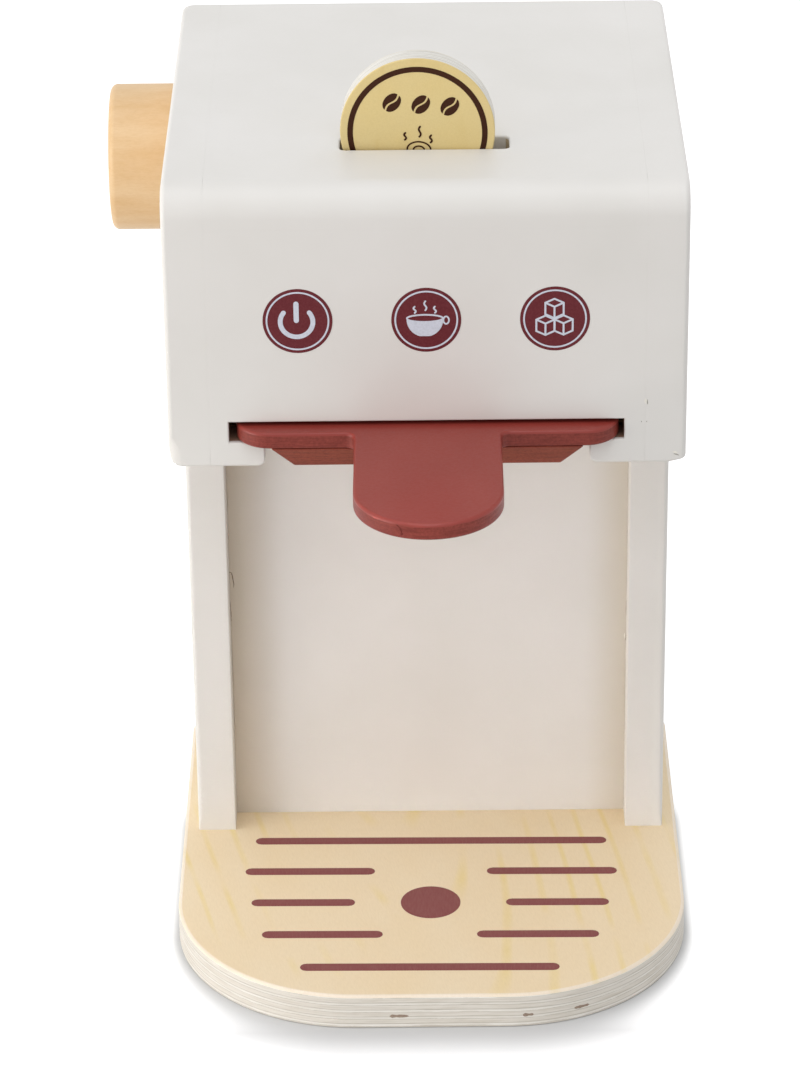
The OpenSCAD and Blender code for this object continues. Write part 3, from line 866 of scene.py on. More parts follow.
class MESH_OT_coffee_head_boards(bpy.types.Operator):
    """The head's front board with the way for the tray, and its top board with the token's slot"""
    bl_idname = "mesh.coffee_head_boards"
    bl_label = "Head boards"

    # How deep the paint reaches into the tray's slot and into the token's slot
    PAINT_IN_SLOT = 1.2 * MM
    PAINT_IN_TOKEN_SLOT = 0.8 * MM
    # Edges of the front up to this height above the solid's underside are rounded as its lower edge
    LOW_EDGE = 0.2 * MM
    # How far round the token the edges of its slot lie, and how far behind its face the slot's walls are
    # bare: the back wall is painted
    SLOT_EDGES = 3 * MM
    SLOT_BARE = 8 * MM

    def execute(self, context):
        boards = context.scene.coffee_boards
        paint = board_paint(boards)
        slot_x = FRONT_HIGH.x - SLOT_END_W
        notch_x = RAIL_LOW.x
        slot_z = FRONT_LOW.z + LEDGE_H
        low_z = FRONT_LOW.z - HEAD_DROP
        corners = [
            (FRONT_LOW.x, low_z, 0), (-notch_x, low_z, LEDGE_R), (-notch_x, slot_z, 0),
            (SLOT_SHIFT - slot_x, slot_z, 0), (SLOT_SHIFT - slot_x, slot_z + SLOT_H, 0),
            (SLOT_SHIFT + slot_x, slot_z + SLOT_H, 0), (SLOT_SHIFT + slot_x, slot_z, 0),
            (notch_x, slot_z, 0), (notch_x, low_z, LEDGE_R),
            (FRONT_HIGH.x, low_z, 0), (FRONT_HIGH.x, FRONT_HIGH.z, 0), (FRONT_LOW.x, FRONT_HIGH.z, 0),
        ]
        seam = boards.seam_rim

        def front_rim(x, z):
            """Rim radius at a place on the head's front"""
            if abs(x) > slot_x + MM and z > FRONT_LOW.z + MM:
                return seam
            if z > FRONT_HIGH.z - MM:
                return FLUSH_R
            if z < FRONT_LOW.z + self.LOW_EDGE:
                return HEAD_LOW_R
            return boards.slot_rim

        front = bmesh.new()
        painted_y = FRONT_LOW.y + self.PAINT_IN_SLOT
        add_board(front, "xzy", paced(rounded(corners), spacing=5 * MM), FRONT_LOW.y, FRONT_HIGH.y,
                  front_rim, even(seam), wall=[(painted_y, 0)])
        for face in front.faces:
            place = face.calc_center_median()
            in_height = slot_z - NEAR < place.z < slot_z + SLOT_H + NEAR
            in_slot = in_height and abs(place.x) < slot_x + MM
            face.material_index = int(in_slot and place.y > painted_y and abs(face.normal.y) < 0.5)
        # Bare wood inside the tray's slot, coloured darker than the wood is: part of it is painted shade of
        # the deep slot
        bare = made_once("bare_board_in_slot", sanded_beech, linear("#a5836f"), linear("#8f705e"),
                         roughness=0.8)
        finished_piece(front, "head_face_board", "housing", [paint, bare],
                       ["head_front_board"])

        def top_rim(x, y):
            """Rim radius at a place on the head's top"""
            if y < TOP_LOW.y + MM:
                return HEAD_TOP_R
            by_slot = TOKEN_LOW.y - self.SLOT_EDGES < y < TOKEN_HIGH.y + self.SLOT_EDGES
            if by_slot and abs(x) < TOP_HIGH.x - MM:
                return boards.token_slot_rim
            return BACK_EDGE_R if y > TOP_HIGH.y - MM else seam

        half_l = TOKEN_SLOT_L / 2
        slot_corners = [
            (-half_l, TOKEN_LOW.y - TOKEN_GAP), (half_l, TOKEN_LOW.y - TOKEN_GAP),
            (half_l, TOKEN_HIGH.y + TOKEN_GAP_BACK), (-half_l, TOKEN_HIGH.y + TOKEN_GAP_BACK),
        ]
        slot = rounded([(x, y, boards.token_slot_r) for x, y in slot_corners], step=15)[::-1]
        outline = paced(rectangle((TOP_LOW.x, TOP_LOW.y), (TOP_HIGH.x, TOP_HIGH.y)), spacing=10 * MM)
        top = bmesh.new()
        painted_z = TOP_HIGH.z - self.PAINT_IN_TOKEN_SLOT
        add_board(top, "xyz", outline, TOP_LOW.z, TOP_HIGH.z, even(FLUSH_R), top_rim, holes=[slot],
                  hole_wall=[(painted_z, 0)], steps=10)
        for face in top.faces:
            place = face.calc_center_median()
            in_slot = abs(place.x) < half_l + NEAR and abs(place.y - TOKEN_LOW.y) < self.SLOT_BARE
            face.material_index = int(in_slot and place.z < painted_z and abs(face.normal.z) < 0.5)
        sawn = made_once("sawn_board_in_token_slot", sanded_beech, linear("#cdbea4"), linear("#b8a78c"),
                         roughness=0.8)
        finished_piece(top, "head_lid_board", "housing", [paint, sawn],
                       ["head_top_board"])
        return {"FINISHED"}


class MESH_OT_coffee_back_boards(bpy.types.Operator):
    """The recess board behind the cup bay and the rear board"""
    bl_idname = "mesh.coffee_back_boards"
    bl_label = "Recess and rear boards"

    # How long the gap beside the recess board stays wide or narrow across and up the board, and its
    # least width as a share of the widest
    GAP_WAVES = (5 * MM, 7 * MM)
    LEAST_GAP = 0.12
    # Radius of the board's edges along its top and foot
    END_RIM = 0.1 * MM
    # Painted shadow of the columns beside each edge: where it is darkest, where it ends, and its tint
    PAINTED_COLUMN_SHADE = ((RECESS_LOW.x, RECESS_LOW.x + 18 * MM, linear("#efe7da")),
                  (RECESS_HIGH.x, RECESS_HIGH.x - 13 * MM, linear("#eeeae1")))

    def execute(self, context):
        boards = context.scene.coffee_boards
        paint = board_paint(boards)

        def ragged(x, z):
            """Fitted tight in places, with a hairline gap in others, where the paint has cracked"""
            if abs(x) < RECESS_HIGH.x - MM:
                return self.END_RIM
            wander = noise.noise(Vector((x / self.GAP_WAVES[0], z / self.GAP_WAVES[1], 0))) + 0.5
            return boards.recess_gap * min(1.0, max(self.LEAST_GAP, wander))

        outline = rectangle((RECESS_LOW.x, RECESS_LOW.z), (RECESS_HIGH.x, RECESS_HIGH.z))
        recess = bmesh.new()
        add_board(recess, "xzy", paced(outline, spacing=2.5 * MM), RECESS_LOW.y, RECESS_HIGH.y,
                  ragged, even(HIDDEN_R))
        # The bay's paint carries a painted shadow beside both columns
        shaded_bay_paint = made_once("satin_acrylic_off_white_in_bay", spray_painted_acrylic, boards.paint,
                              boards.paint_shade, starved=self.PAINTED_COLUMN_SHADE)
        finished_piece(recess, "cup_bay_board", "housing", [shaded_bay_paint],
                       ["recess_board"])

        outline = rectangle((REAR_LOW.x, REAR_LOW.z), (REAR_HIGH.x, REAR_HIGH.z))
        rear = bmesh.new()
        add_board(rear, "xzy", outline, REAR_LOW.y, REAR_HIGH.y, even(HIDDEN_R), even(boards.seam_rim))
        finished_piece(rear, "back_board", "housing", [paint], ["rear_board"])
        return {"FINISHED"}


# ---------------------------------------------------------------- base and drip grid

def base_outline():
    """The base board from above: large corners in front, small ones at the back"""
    corners = [
        (BASE_LOW.x, BASE_LOW.y, BASE_FRONT_R), (BASE_HIGH.x, BASE_LOW.y, BASE_FRONT_R),
        (BASE_HIGH.x, BASE_HIGH.y, BASE_BACK_R), (BASE_LOW.x, BASE_HIGH.y, BASE_BACK_R),
    ]
    return rounded(corners, step=3)


# Half the width of the groove at a glue line, and how near to a rim one may lie, in rim radii
GROOVE_HALF = 0.16 * MM
GROOVE_CLEAR = 1.3


def ply_wall(low, high, plies, rim, groove=0.07 * MM):
    """Rings of a plywood edge: a fine groove at each glue line"""
    rings = []
    for i in range(1, plies):
        level = low + (high - low) * i / plies
        if low + rim * GROOVE_CLEAR < level < high - rim * GROOVE_CLEAR:
            rings += [(level - GROOVE_HALF, 0), (level, groove), (level + GROOVE_HALF, 0)]
    return rings


def base_wall_place(x, z, lift):
    """The point of the base board's front wall at x and z, moved out by lift"""
    corner_x = BASE_HIGH.x - BASE_FRONT_R
    corner_y = BASE_LOW.y + BASE_FRONT_R
    if abs(x) <= corner_x:
        return x, BASE_LOW.y - lift, z
    across = abs(x) - corner_x
    angle = math.asin(min(1.0, across / BASE_FRONT_R))
    reach = BASE_FRONT_R + lift
    return math.copysign(corner_x + reach * math.sin(angle), x), corner_y - reach * math.cos(angle), z


class MESH_OT_coffee_base(bpy.types.Operator):
    """The plywood base board, with its plies on the edge and a few small voids in them"""
    bl_idname = "mesh.coffee_base"
    bl_label = "Base board"

    # Middle along X, height above the floor, width and height of each void, in millimetres
    VOIDS = ((-9.2, 3.9, 5.2, 0.95), (26.2, 3.8, 3.0, 0.8), (41.0, 3.8, 4.2, 0.9))
    # The veneer's growth rings: their middle behind the base, their shape and width, the grain's lean
    RINGS = {"centre": (-6.8 * MM, 105 * MM, 0), "squeeze": (1, 0.15, 1), "ring": 7.5 * MM, "lean": -11}
    # Radius of the lower rim, and how far down the upper rim has a paler veneer as painted sheen, as shares
    # of the rim
    LOW_RIM = 0.6
    SHEEN_RIM = 0.75

    def execute(self, context):
        base = context.scene.coffee_base
        veneer = made_once("lacquered_birch_veneer", birch_veneer, base.veneer, base.veneer_warm,
                           base.veneer_line, **self.RINGS)
        # A paler copy of the veneer: a painted sheen on the rounded upper rim
        sanded = made_once("sanded_birch_rim", birch_veneer, linear("#f3e7d6"), linear("#fbf6ee"),
                           linear("#efe2c6"), **self.RINGS)
        edge = made_once("birch_ply_edge_of_base", birch_ply_edge, "Z", BASE_LOW.z,
                         BASE_HIGH.z - BASE_LOW.z, base.plies,
                         linear("#f0ece4"), linear("#e5dfd5"), linear("#bdb4a7"))
        bm = bmesh.new()
        wall = ply_wall(BASE_LOW.z, BASE_HIGH.z, base.plies, base.rim)
        add_board(bm, "xyz", paced(base_outline(), spacing=12 * MM), BASE_LOW.z, BASE_HIGH.z,
                  even(base.rim * self.LOW_RIM), hand_sanded(base.rim), wall=wall)
        # The upper rim takes the paler veneer, a painted sheen where the rounded edge catches the light
        sheen_z = BASE_HIGH.z - base.rim * self.SHEEN_RIM
        for face in bm.faces:
            if face.material_index and face.calc_center_median().z > sheen_z:
                face.material_index = 2
        finished_piece(bm, "plywood_base", "housing", [veneer, edge, sanded], ["base_board"])

        dark = made_once("open_ply_void", matt_film, linear("#a59282"), linear("#8d7a6a"))
        voids = bmesh.new()
        for middle, height, width, tall in self.VOIDS:
            line = [(middle - width / 2, height), (middle, height), (middle + width / 2, height)]
            add_film(voids, crack(line, tall, taper=0.15), base_wall_place)
        finished_piece(voids, "ply_edge_voids", "housing", [dark], smooth=False)
        return {"FINISHED"}


# How thick print is, how deep it sits in its surface, and the radius of its edges
PRINT_T = 0.06 * MM
PRINT_SINK = 0.02 * MM
PRINT_RIM = 0.015 * MM
# Shapes of one print lie this share of its thickness over each other, so that no two faces coincide
OVERPRINT = 0.08


def add_print(bm, axes, outline, surface, out, holes=(), layer=0):
    """Adds one printed shape as a thin film on a surface, out being +1 or -1 along the third axis"""
    near = surface - out * PRINT_SINK + out * layer * PRINT_T
    far = surface + out * PRINT_T + out * layer * PRINT_T
    low, high = min(near, far), max(near, far)
    soft = even(PRINT_RIM)
    add_board(bm, axes, outline, low, high, soft, soft, holes=holes, steps=1)


class MESH_OT_coffee_drip_grid(bpy.types.Operator):
    """The drip grid that is screen-printed on the base: rows of round-ended lines about a dot"""
    bl_idname = "mesh.coffee_drip_grid"
    bl_label = "Drip grid"

    # The dot's centre and radius in millimetres, and the print's turn in degrees
    CENTRE = (-0.2, -30.4)
    DOT_R = 8.45
    TURN = -0.62
    # Row number from the dot, and the ends of its lines along X in millimetres
    ROWS = (
        (2, ((-50.9, 50.8),)), (1, ((-53.2, -16.0), (16.0, 53.3))), (0, ((-50.8, -21.4), (21.3, 50.5))),
        (-1, ((-47.2, -13.3), (13.0, 47.2))), (-2, ((-36.0, 35.8),)),
    )

    def execute(self, context):
        base = context.scene.coffee_base
        ink = made_once("screen_print_ink_burgundy", matt_film, base.ink, linear("#8b5552"),
                        grain=(0.5 * MM, 3 * MM, 0.5 * MM))
        centre = Vector(self.CENTRE) * MM
        bm = bmesh.new()
        half = base.line_w / 2
        for row, lines in self.ROWS:
            for start, end in lines:
                line = [(start * MM + half, row * base.pitch), (end * MM - half, row * base.pitch)]
                outline = placed(ribbon(line, base.line_w), centre, self.TURN)
                add_print(bm, "xyz", outline, BASE_HIGH.z, 1)
        add_print(bm, "xyz", circle(centre, self.DOT_R * MM), BASE_HIGH.z, 1)
        finished_piece(bm, "drip_grid_print", "housing", [ink], smooth=False)
        return {"FINISHED"}


# ---------------------------------------------------------------- tray

def tray_outline():
    """The plate from above: wings, and a tab with a round end"""
    wing_y = PLATE_LOW.y + TAB_L
    wing_x = PLATE_HIGH.x + WING_EXTRA
    tab_x = TAB_W / 2
    end = arc((0, PLATE_LOW.y + tab_x), tab_x, 180, 360, step=2)
    sides = [(-tab_x, PLATE_LOW.y + tab_x, 0), (tab_x, PLATE_LOW.y + tab_x, 0)]
    corners = [
        (tab_x, wing_y, TAB_FILLET_R), (wing_x, wing_y, WING_R), (wing_x, PLATE_HIGH.y, WING_BACK_R),
        (-wing_x, PLATE_HIGH.y, WING_BACK_R), (-wing_x, wing_y, WING_R), (-tab_x, wing_y, TAB_FILLET_R),
    ]
    body = rounded(sides + corners, step=5)
    return placed(end + body[len(sides):], (TRAY_SHIFT, 0))


class MESH_OT_coffee_tray(bpy.types.Operator):
    """The tray: a T-shaped painted plate and the sloping block under it"""
    bl_idname = "mesh.coffee_tray"
    bl_label = "Tray"

    # How much the plate is sanded down from above, and the radius of the block's edges
    PLATE_SANDED = 0.25 * MM
    BLOCK_RIM = 0.5 * MM

    def execute(self, context):
        tray = context.scene.coffee_tray
        paint = made_once("satin_acrylic_brick_red", spray_painted_acrylic, tray.paint, tray.paint_shade,
                          orange_peel=0.8 * MM, depth=0.02 * MM, roughness=0.36)
        top_z = PLATE_HIGH.z - self.PLATE_SANDED
        plate = bmesh.new()
        add_board(plate, "xyz", paced(tray_outline(), spacing=6 * MM), PLATE_LOW.z, top_z,
                  hand_sanded(tray.rim), hand_sanded(tray.rim, share=0.3, wavelength=5 * MM))
        for face in plate.faces:
            if face.calc_center_median().z > top_z - tray.rim:
                face.material_index = 0
        edge_paint = made_once("satin_acrylic_on_ply_edge", painted_ply_edge, tray.edge_paint,
                               linear("#7c3228"))
        finished_piece(plate, "pull_tray_plate", "tray", [paint, edge_paint],
                       ["tray_plate"])

        # Browner red: painted warm light bounced from the base onto the block under the plate
        block_paint_with_bounce = made_once("satin_acrylic_on_ply_block", painted_ply_edge, tray.block_paint_with_bounce,
                                linear("#7f3829"))
        block = bmesh.new()
        self.add_block(block)
        piece = finished_piece(block, "pull_tray_block", "tray", [block_paint_with_bounce],
                               ["tray_block"])
        bevel = piece.modifiers.new("Sanded edges", "BEVEL")
        bevel.width = self.BLOCK_RIM
        bevel.segments = 3
        # The edges are rounded before the normals are weighted
        piece.modifiers.move(1, 0)
        return {"FINISHED"}

    @staticmethod
    def add_block(bm):
        """Adds the block: full size under the plate, smaller at its underside"""
        side, front = BLOCK_SIDE_SLOPE, BLOCK_FRONT_SLOPE
        rings = []
        for z, dx, dy in ((BLOCK_LOW.z, side, front), (BLOCK_HIGH.z, 0, 0)):
            low = (BLOCK_LOW.x + dx, BLOCK_LOW.y + dy)
            high = (BLOCK_HIGH.x - dx, BLOCK_HIGH.y)
            rings.append([bm.verts.new((*p, z)) for p in rectangle(low, high)])
        below, above = rings
        bm.faces.new(below[::-1])
        bm.faces.new(above)
        for i in range(4):
            j = (i + 1) % 4
            bm.faces.new((below[i], below[j], above[j], above[i]))


# ---------------------------------------------------------------- knob

class MESH_OT_coffee_knob(bpy.types.Operator):
    """The turned knob on the left side"""
    bl_idname = "mesh.coffee_knob"
    bl_label = "Knob"

    # How much deeper the bore is than the axle, and the chamfers of the bore and of the back rim
    BORE_ROOM = 0.5 * MM
    BORE_CHAMFER = 0.3 * MM
    BACK_CHAMFER = 0.6 * MM
    # Steps of the outer rim and of the domed end
    RIM_STEPS = 10
    DOME_STEPS = 8

    def execute(self, context):
        knob = context.scene.coffee_knob
        wood = made_once("turned_beech_knob", sanded_beech, knob.wood, knob.wood_dark,
                         roughness=0.45, fleck=0.3)
        radius = (KNOB_HIGH.z - KNOB_LOW.z) / 2
        bore_r = (AXLE_HIGH.z - AXLE_LOW.z) / 2 + BORE_GAP
        bore_x = AXLE_LOW.x - self.BORE_ROOM
        back, end = KNOB_HIGH.x, KNOB_LOW.x - knob.proud
        chamfer = self.BACK_CHAMFER
        profile = [
            (bore_x, 0), (bore_x, bore_r),
            (back - self.BORE_CHAMFER, bore_r), (back, bore_r + self.BORE_CHAMFER),
            (back, radius - chamfer), (back - chamfer / 3, radius - chamfer / 3), (back - chamfer, radius),
        ]
        rim_x, rim_r = end + knob.dome + knob.rim, radius - knob.rim
        for i in range(self.RIM_STEPS):
            angle = math.radians(90 * i / self.RIM_STEPS)
            profile.append((rim_x - knob.rim * math.sin(angle), rim_r + knob.rim * math.cos(angle)))
        for i in range(self.DOME_STEPS - 1, -1, -1):
            share = i / self.DOME_STEPS
            profile.append((end + knob.dome * share ** 2, rim_r * share))
        turned_piece(profile, (KNOB_LOW + KNOB_HIGH) / 2, "turned_knob", "knob", [wood], ["knob"])
        return {"FINISHED"}


# ---------------------------------------------------------------- token and its print

def steam_curl(foot, height, sway=0.3, steps=10):
    """The middle line of a curl of steam, as (u, v) in millimetres"""
    return [(foot[0] + sway * math.sin(math.tau * i / steps), foot[1] + height * i / steps)
            for i in range(steps + 1)]


def ellipse(centre, wide, tall, start=0, end=360, count=40):
    """Points on an ellipse between two angles, as (u, v)"""
    angles = [math.radians(start + (end - start) * i / count) for i in range(count + 1)]
    points = [(centre[0] + wide * math.cos(a), centre[1] + tall * math.sin(a)) for a in angles]
    return points[:-1] if abs(end - start) == 360 else points


class MESH_OT_coffee_token(bpy.types.Operator):
    """The plywood token with a printed ring, three beans and a steaming cup"""
    bl_idname = "mesh.coffee_token"
    bl_label = "Token"

    # Sideways place of the token in its slot, its turn about the vertical in degrees, and its plies
    SHIFT = -0.2 * MM
    SKEW = -1.5
    PLIES = 5
    # The print is in millimetres about the token's centre, and in degrees. Its ring: outer and inner
    # radius, and how much higher it stands
    RING = (18.15, 16.7)
    RING_SHIFT = -0.35
    # Beans: their places along the row, the row's height, half width and half length of a bean, its turn,
    # and the half width and the bend of its crease
    BEANS = (-7.1, 0.4, 7.9)
    BEAN_V = 7.5
    BEAN_HALF = (1.85, 2.7)
    BEAN_TURN = -35
    CREASE_HALF = 0.25
    CREASE_BEND = 0.4
    # Foot of each curl of steam and its height, then centre, half width and half height of the cup's rim,
    # its drink and its bowl, and how wide the lines are
    STEAM = (((-3.1, -2.5), 1.9), ((0.6, -1.4), 2.8), ((3.6, -2.8), 2.0))
    CUP_RIM = ((0.7, -4.9), 3.05, 2.1)
    DRINK = ((0.7, -5.1), 1.45, 1.1)
    BOWL = ((0.7, -5.2), 3.2, 5.4)
    STEAM_W = 0.5
    LINE_W = 0.4

    def execute(self, context):
        token = context.scene.coffee_token
        veneer = made_once("lacquered_birch_token", birch_veneer, token.veneer, linear("#fbf3dc"),
                           linear("#dcc384"), centre=(6 * MM, 0, 160 * MM), squeeze=(1, 1, 0.12),
                           ring=3.5 * MM)
        thick = TOKEN_HIGH.y - TOKEN_LOW.y
        edge = made_once("birch_ply_edge_of_token", birch_ply_edge, "Y", TOKEN_LOW.y, thick, self.PLIES,
                         linear("#f3f1eb"), linear("#e6e3dc"), linear("#bdb8b0"))
        centre = (TOKEN_LOW + TOKEN_HIGH) / 2 + Vector((self.SHIFT, 0, 0))
        radius = (TOKEN_HIGH.x - TOKEN_LOW.x) / 2
        middle = (centre.x, centre.z)
        wall = ply_wall(TOKEN_LOW.y, TOKEN_HIGH.y, self.PLIES, token.rim, groove=0.05 * MM)
        disc = bmesh.new()
        add_board(disc, "xzy", circle(middle, radius, step=3), TOKEN_LOW.y, TOKEN_HIGH.y,
                  hand_sanded(token.rim), hand_sanded(token.rim), wall=wall)
        for face in disc.faces:
            depth = abs(face.calc_center_median().y - centre.y)
            face.material_index = int(depth < thick / 2 - token.rim)
        self.skew(disc, centre)
        finished_piece(disc, "ply_token", "token", [veneer, edge], ["token"])

        ink = made_once("pad_print_ink_brown", matt_film, token.ink, linear("#381a0b"))
        turn = math.degrees(token.print_turn)
        bm = bmesh.new()
        outer, inner = self.RING
        ring_middle = (middle[0], middle[1] + self.RING_SHIFT * MM)
        add_print(bm, "xzy", circle(ring_middle, outer * MM, step=3), TOKEN_LOW.y, -1,
                  holes=[circle(ring_middle, inner * MM, step=3)[::-1]])
        for count, (outline, hole) in enumerate(self.motif()):
            holes = [placed(hole, middle, turn, MM)] if hole else []
            add_print(bm, "xzy", placed(outline, middle, turn, MM), TOKEN_LOW.y, -1, holes=holes,
                      layer=count * OVERPRINT)
        self.skew(bm, centre)
        finished_piece(bm, "token_print", "token", [ink], smooth=False)
        return {"FINISHED"}

    def skew(self, bm, centre):
        """Turns the token a little about the vertical, as its loose slot lets it stand"""
        turn = Matrix.Rotation(math.radians(self.SKEW), 3, "Z")
        bmesh.ops.rotate(bm, cent=centre, matrix=turn, verts=bm.verts)

    def motif(self):
        """The beans and the steaming cup as (outline, hole) pairs, in millimetres about the centre"""
        shapes = []
        wide, tall = self.BEAN_HALF
        for u in self.BEANS:
            for side in (1, -1):
                shift = side * self.CREASE_HALF
                half = [(p[0] + shift, p[1]) for p in ellipse((0, 0), side * wide, tall, -90, 90, 16)]
                # The crease runs in an S from the bean's upper end to its lower one
                crease = [(shift + self.CREASE_BEND * math.sin(math.pi * t / 4), tall * (1 - t / 4))
                          for t in range(1, 8)]
                bean = half + crease if side == 1 else (half + crease)[::-1]
                shapes.append((placed(bean, (u, self.BEAN_V), self.BEAN_TURN), None))
        for foot, height in self.STEAM:
            shapes.append((ribbon(steam_curl(foot, height), self.STEAM_W), None))
        for line in (self.CUP_RIM, self.DRINK):
            shapes.append(loop_band([Vector(p) for p in ellipse(*line)], self.LINE_W))
        shapes.append((ribbon(ellipse(*self.BOWL, 190, 350, 24), self.LINE_W), None))
        return shapes


# ---------------------------------------------------------------- pictograms

# The signs, in millimetres about the disc's centre. Power: the ring's centre and radius, its half opening
# in degrees, the bar's ends, and the width of both
POWER_CENTRE = (-0.25, -0.2)
POWER_R = 4.2
POWER_OPEN = 52
POWER_BAR = ((-0.3, 4.85), (-0.3, 0.2))
POWER_RING_W = 1.25
POWER_BAR_W = 1.35

# Hot drink: centre, half width and half height of the rim, the bowl's top and the bowl, the flat that it
# stands on, the handle, and the foot and height of each curl of steam
CUP_RIM = ((-0.35, 0.45), 4.62, 1.0)
CUP_BOWL_TOP = ((-0.35, 0.45), 4.72, 1.0)
CUP_BOWL = ((-0.35, 0.2), 4.72, 4.95)
CUP_FLAT = -4.55
CUP_HANDLE = ((5.12, -0.1), 0.72, 1.05)
CUP_STEAM = (((-2.95, 2.0), 1.75), ((-0.2, 2.75), 2.5), ((2.25, 2.0), 1.75))
CUP_LINE_W = 0.45
HANDLE_LINE_W = 0.42

# Cubes: the corner of each cube that faces the eye, and a cube's half width, slope, side and lines
CUBES = ((-0.15, 3.35), (-2.45, -1.35), (2.2, -1.3))
CUBE_HALF_W = 2.35
CUBE_SLOPE = 1.12
CUBE_SIDE = 3.2
CUBE_LINE_W = 0.5


def power_shapes():
    """A power sign: an open ring and a bar"""
    ring = arc(POWER_CENTRE, POWER_R, 90 + POWER_OPEN, 450 - POWER_OPEN, step=6)
    return [(ribbon(ring, POWER_RING_W), None), (ribbon(POWER_BAR, POWER_BAR_W), None)]


def cup_shapes():
    """A steaming cup, filled below its rim"""
    bowl = ellipse(*CUP_BOWL, 0, -180, 28)[1:-1]
    flat = [(u, max(v, CUP_FLAT)) for u, v in bowl]
    top = ellipse(*CUP_BOWL_TOP, 180, 360, 24)
    return [
        loop_band([Vector(p) for p in ellipse(*CUP_RIM)], CUP_LINE_W),
        ([Vector(p) for p in flat[::-1] + top[::-1]], None),
        loop_band([Vector(p) for p in ellipse(*CUP_HANDLE, count=20)], HANDLE_LINE_W),
        *((ribbon(steam_curl(foot, height), CUP_LINE_W), None) for foot, height in CUP_STEAM),
    ]


def cube_shapes():
    """Three cubes in a heap, drawn with single lines"""
    shapes = []
    w, slope, side = CUBE_HALF_W, CUBE_SLOPE, CUBE_SIDE
    for u, v in CUBES:
        hexagon = [(0, -side), (w, slope - side), (w, slope), (0, 2 * slope), (-w, slope),
                   (-w, slope - side)]
        shapes.append(loop_band([Vector((u + a, v + b)) for a, b in hexagon], CUBE_LINE_W))
        for a, b in ((-w, slope), (w, slope), (0, -side)):
            shapes.append((ribbon([(u, v), (u + a, v + b)], CUBE_LINE_W), None))
    return shapes


class MESH_OT_coffee_pictograms(bpy.types.Operator):
    """Three round pictograms printed on the head: power, hot drink and cubes"""
    bl_idname = "mesh.coffee_pictograms"
    bl_label = "Pictograms"

    # Middle radius and width of the fine ring inside a disc's rim, in millimetres
    RING_MID_R = 7.97
    RING_W = 0.44

    def execute(self, context):
        settings = context.scene.coffee_pictograms
        ink = made_once("pad_print_ink_burgundy", matt_film, settings.ink, linear("#6e2f34"),
                        roughness=0.45)
        light = made_once("pad_print_ink_white", matt_film, settings.light_ink, linear("#caced9"))
        signs = (("power", power_shapes(), -1), ("hot_drink", cup_shapes(), 0), ("cubes", cube_shapes(), 1))
        for name, shapes, place in signs:
            centre = (place * settings.pitch, settings.height)
            disc = bmesh.new()
            add_print(disc, "xzy", circle(centre, settings.disc_d / 2, step=3), FRONT_LOW.y, -1)
            finished_piece(disc, name + "_disc_print", "housing", [ink],
                           smooth=False)
            lines = bmesh.new()
            ring = loop_band(circle((0, 0), self.RING_MID_R, step=3), self.RING_W)
            for count, (outline, hole) in enumerate([ring] + shapes):
                holes = [placed(hole, centre, 0, MM)] if hole else []
                add_print(lines, "xzy", placed(outline, centre, 0, MM), FRONT_LOW.y, -1, holes=holes,
                          layer=1 + count * OVERPRINT)
            finished_piece(lines, name + "_sign_print", "housing", [light],
                           smooth=False)
        return {"FINISHED"}


# ---------------------------------------------------------------- flaws in the paint

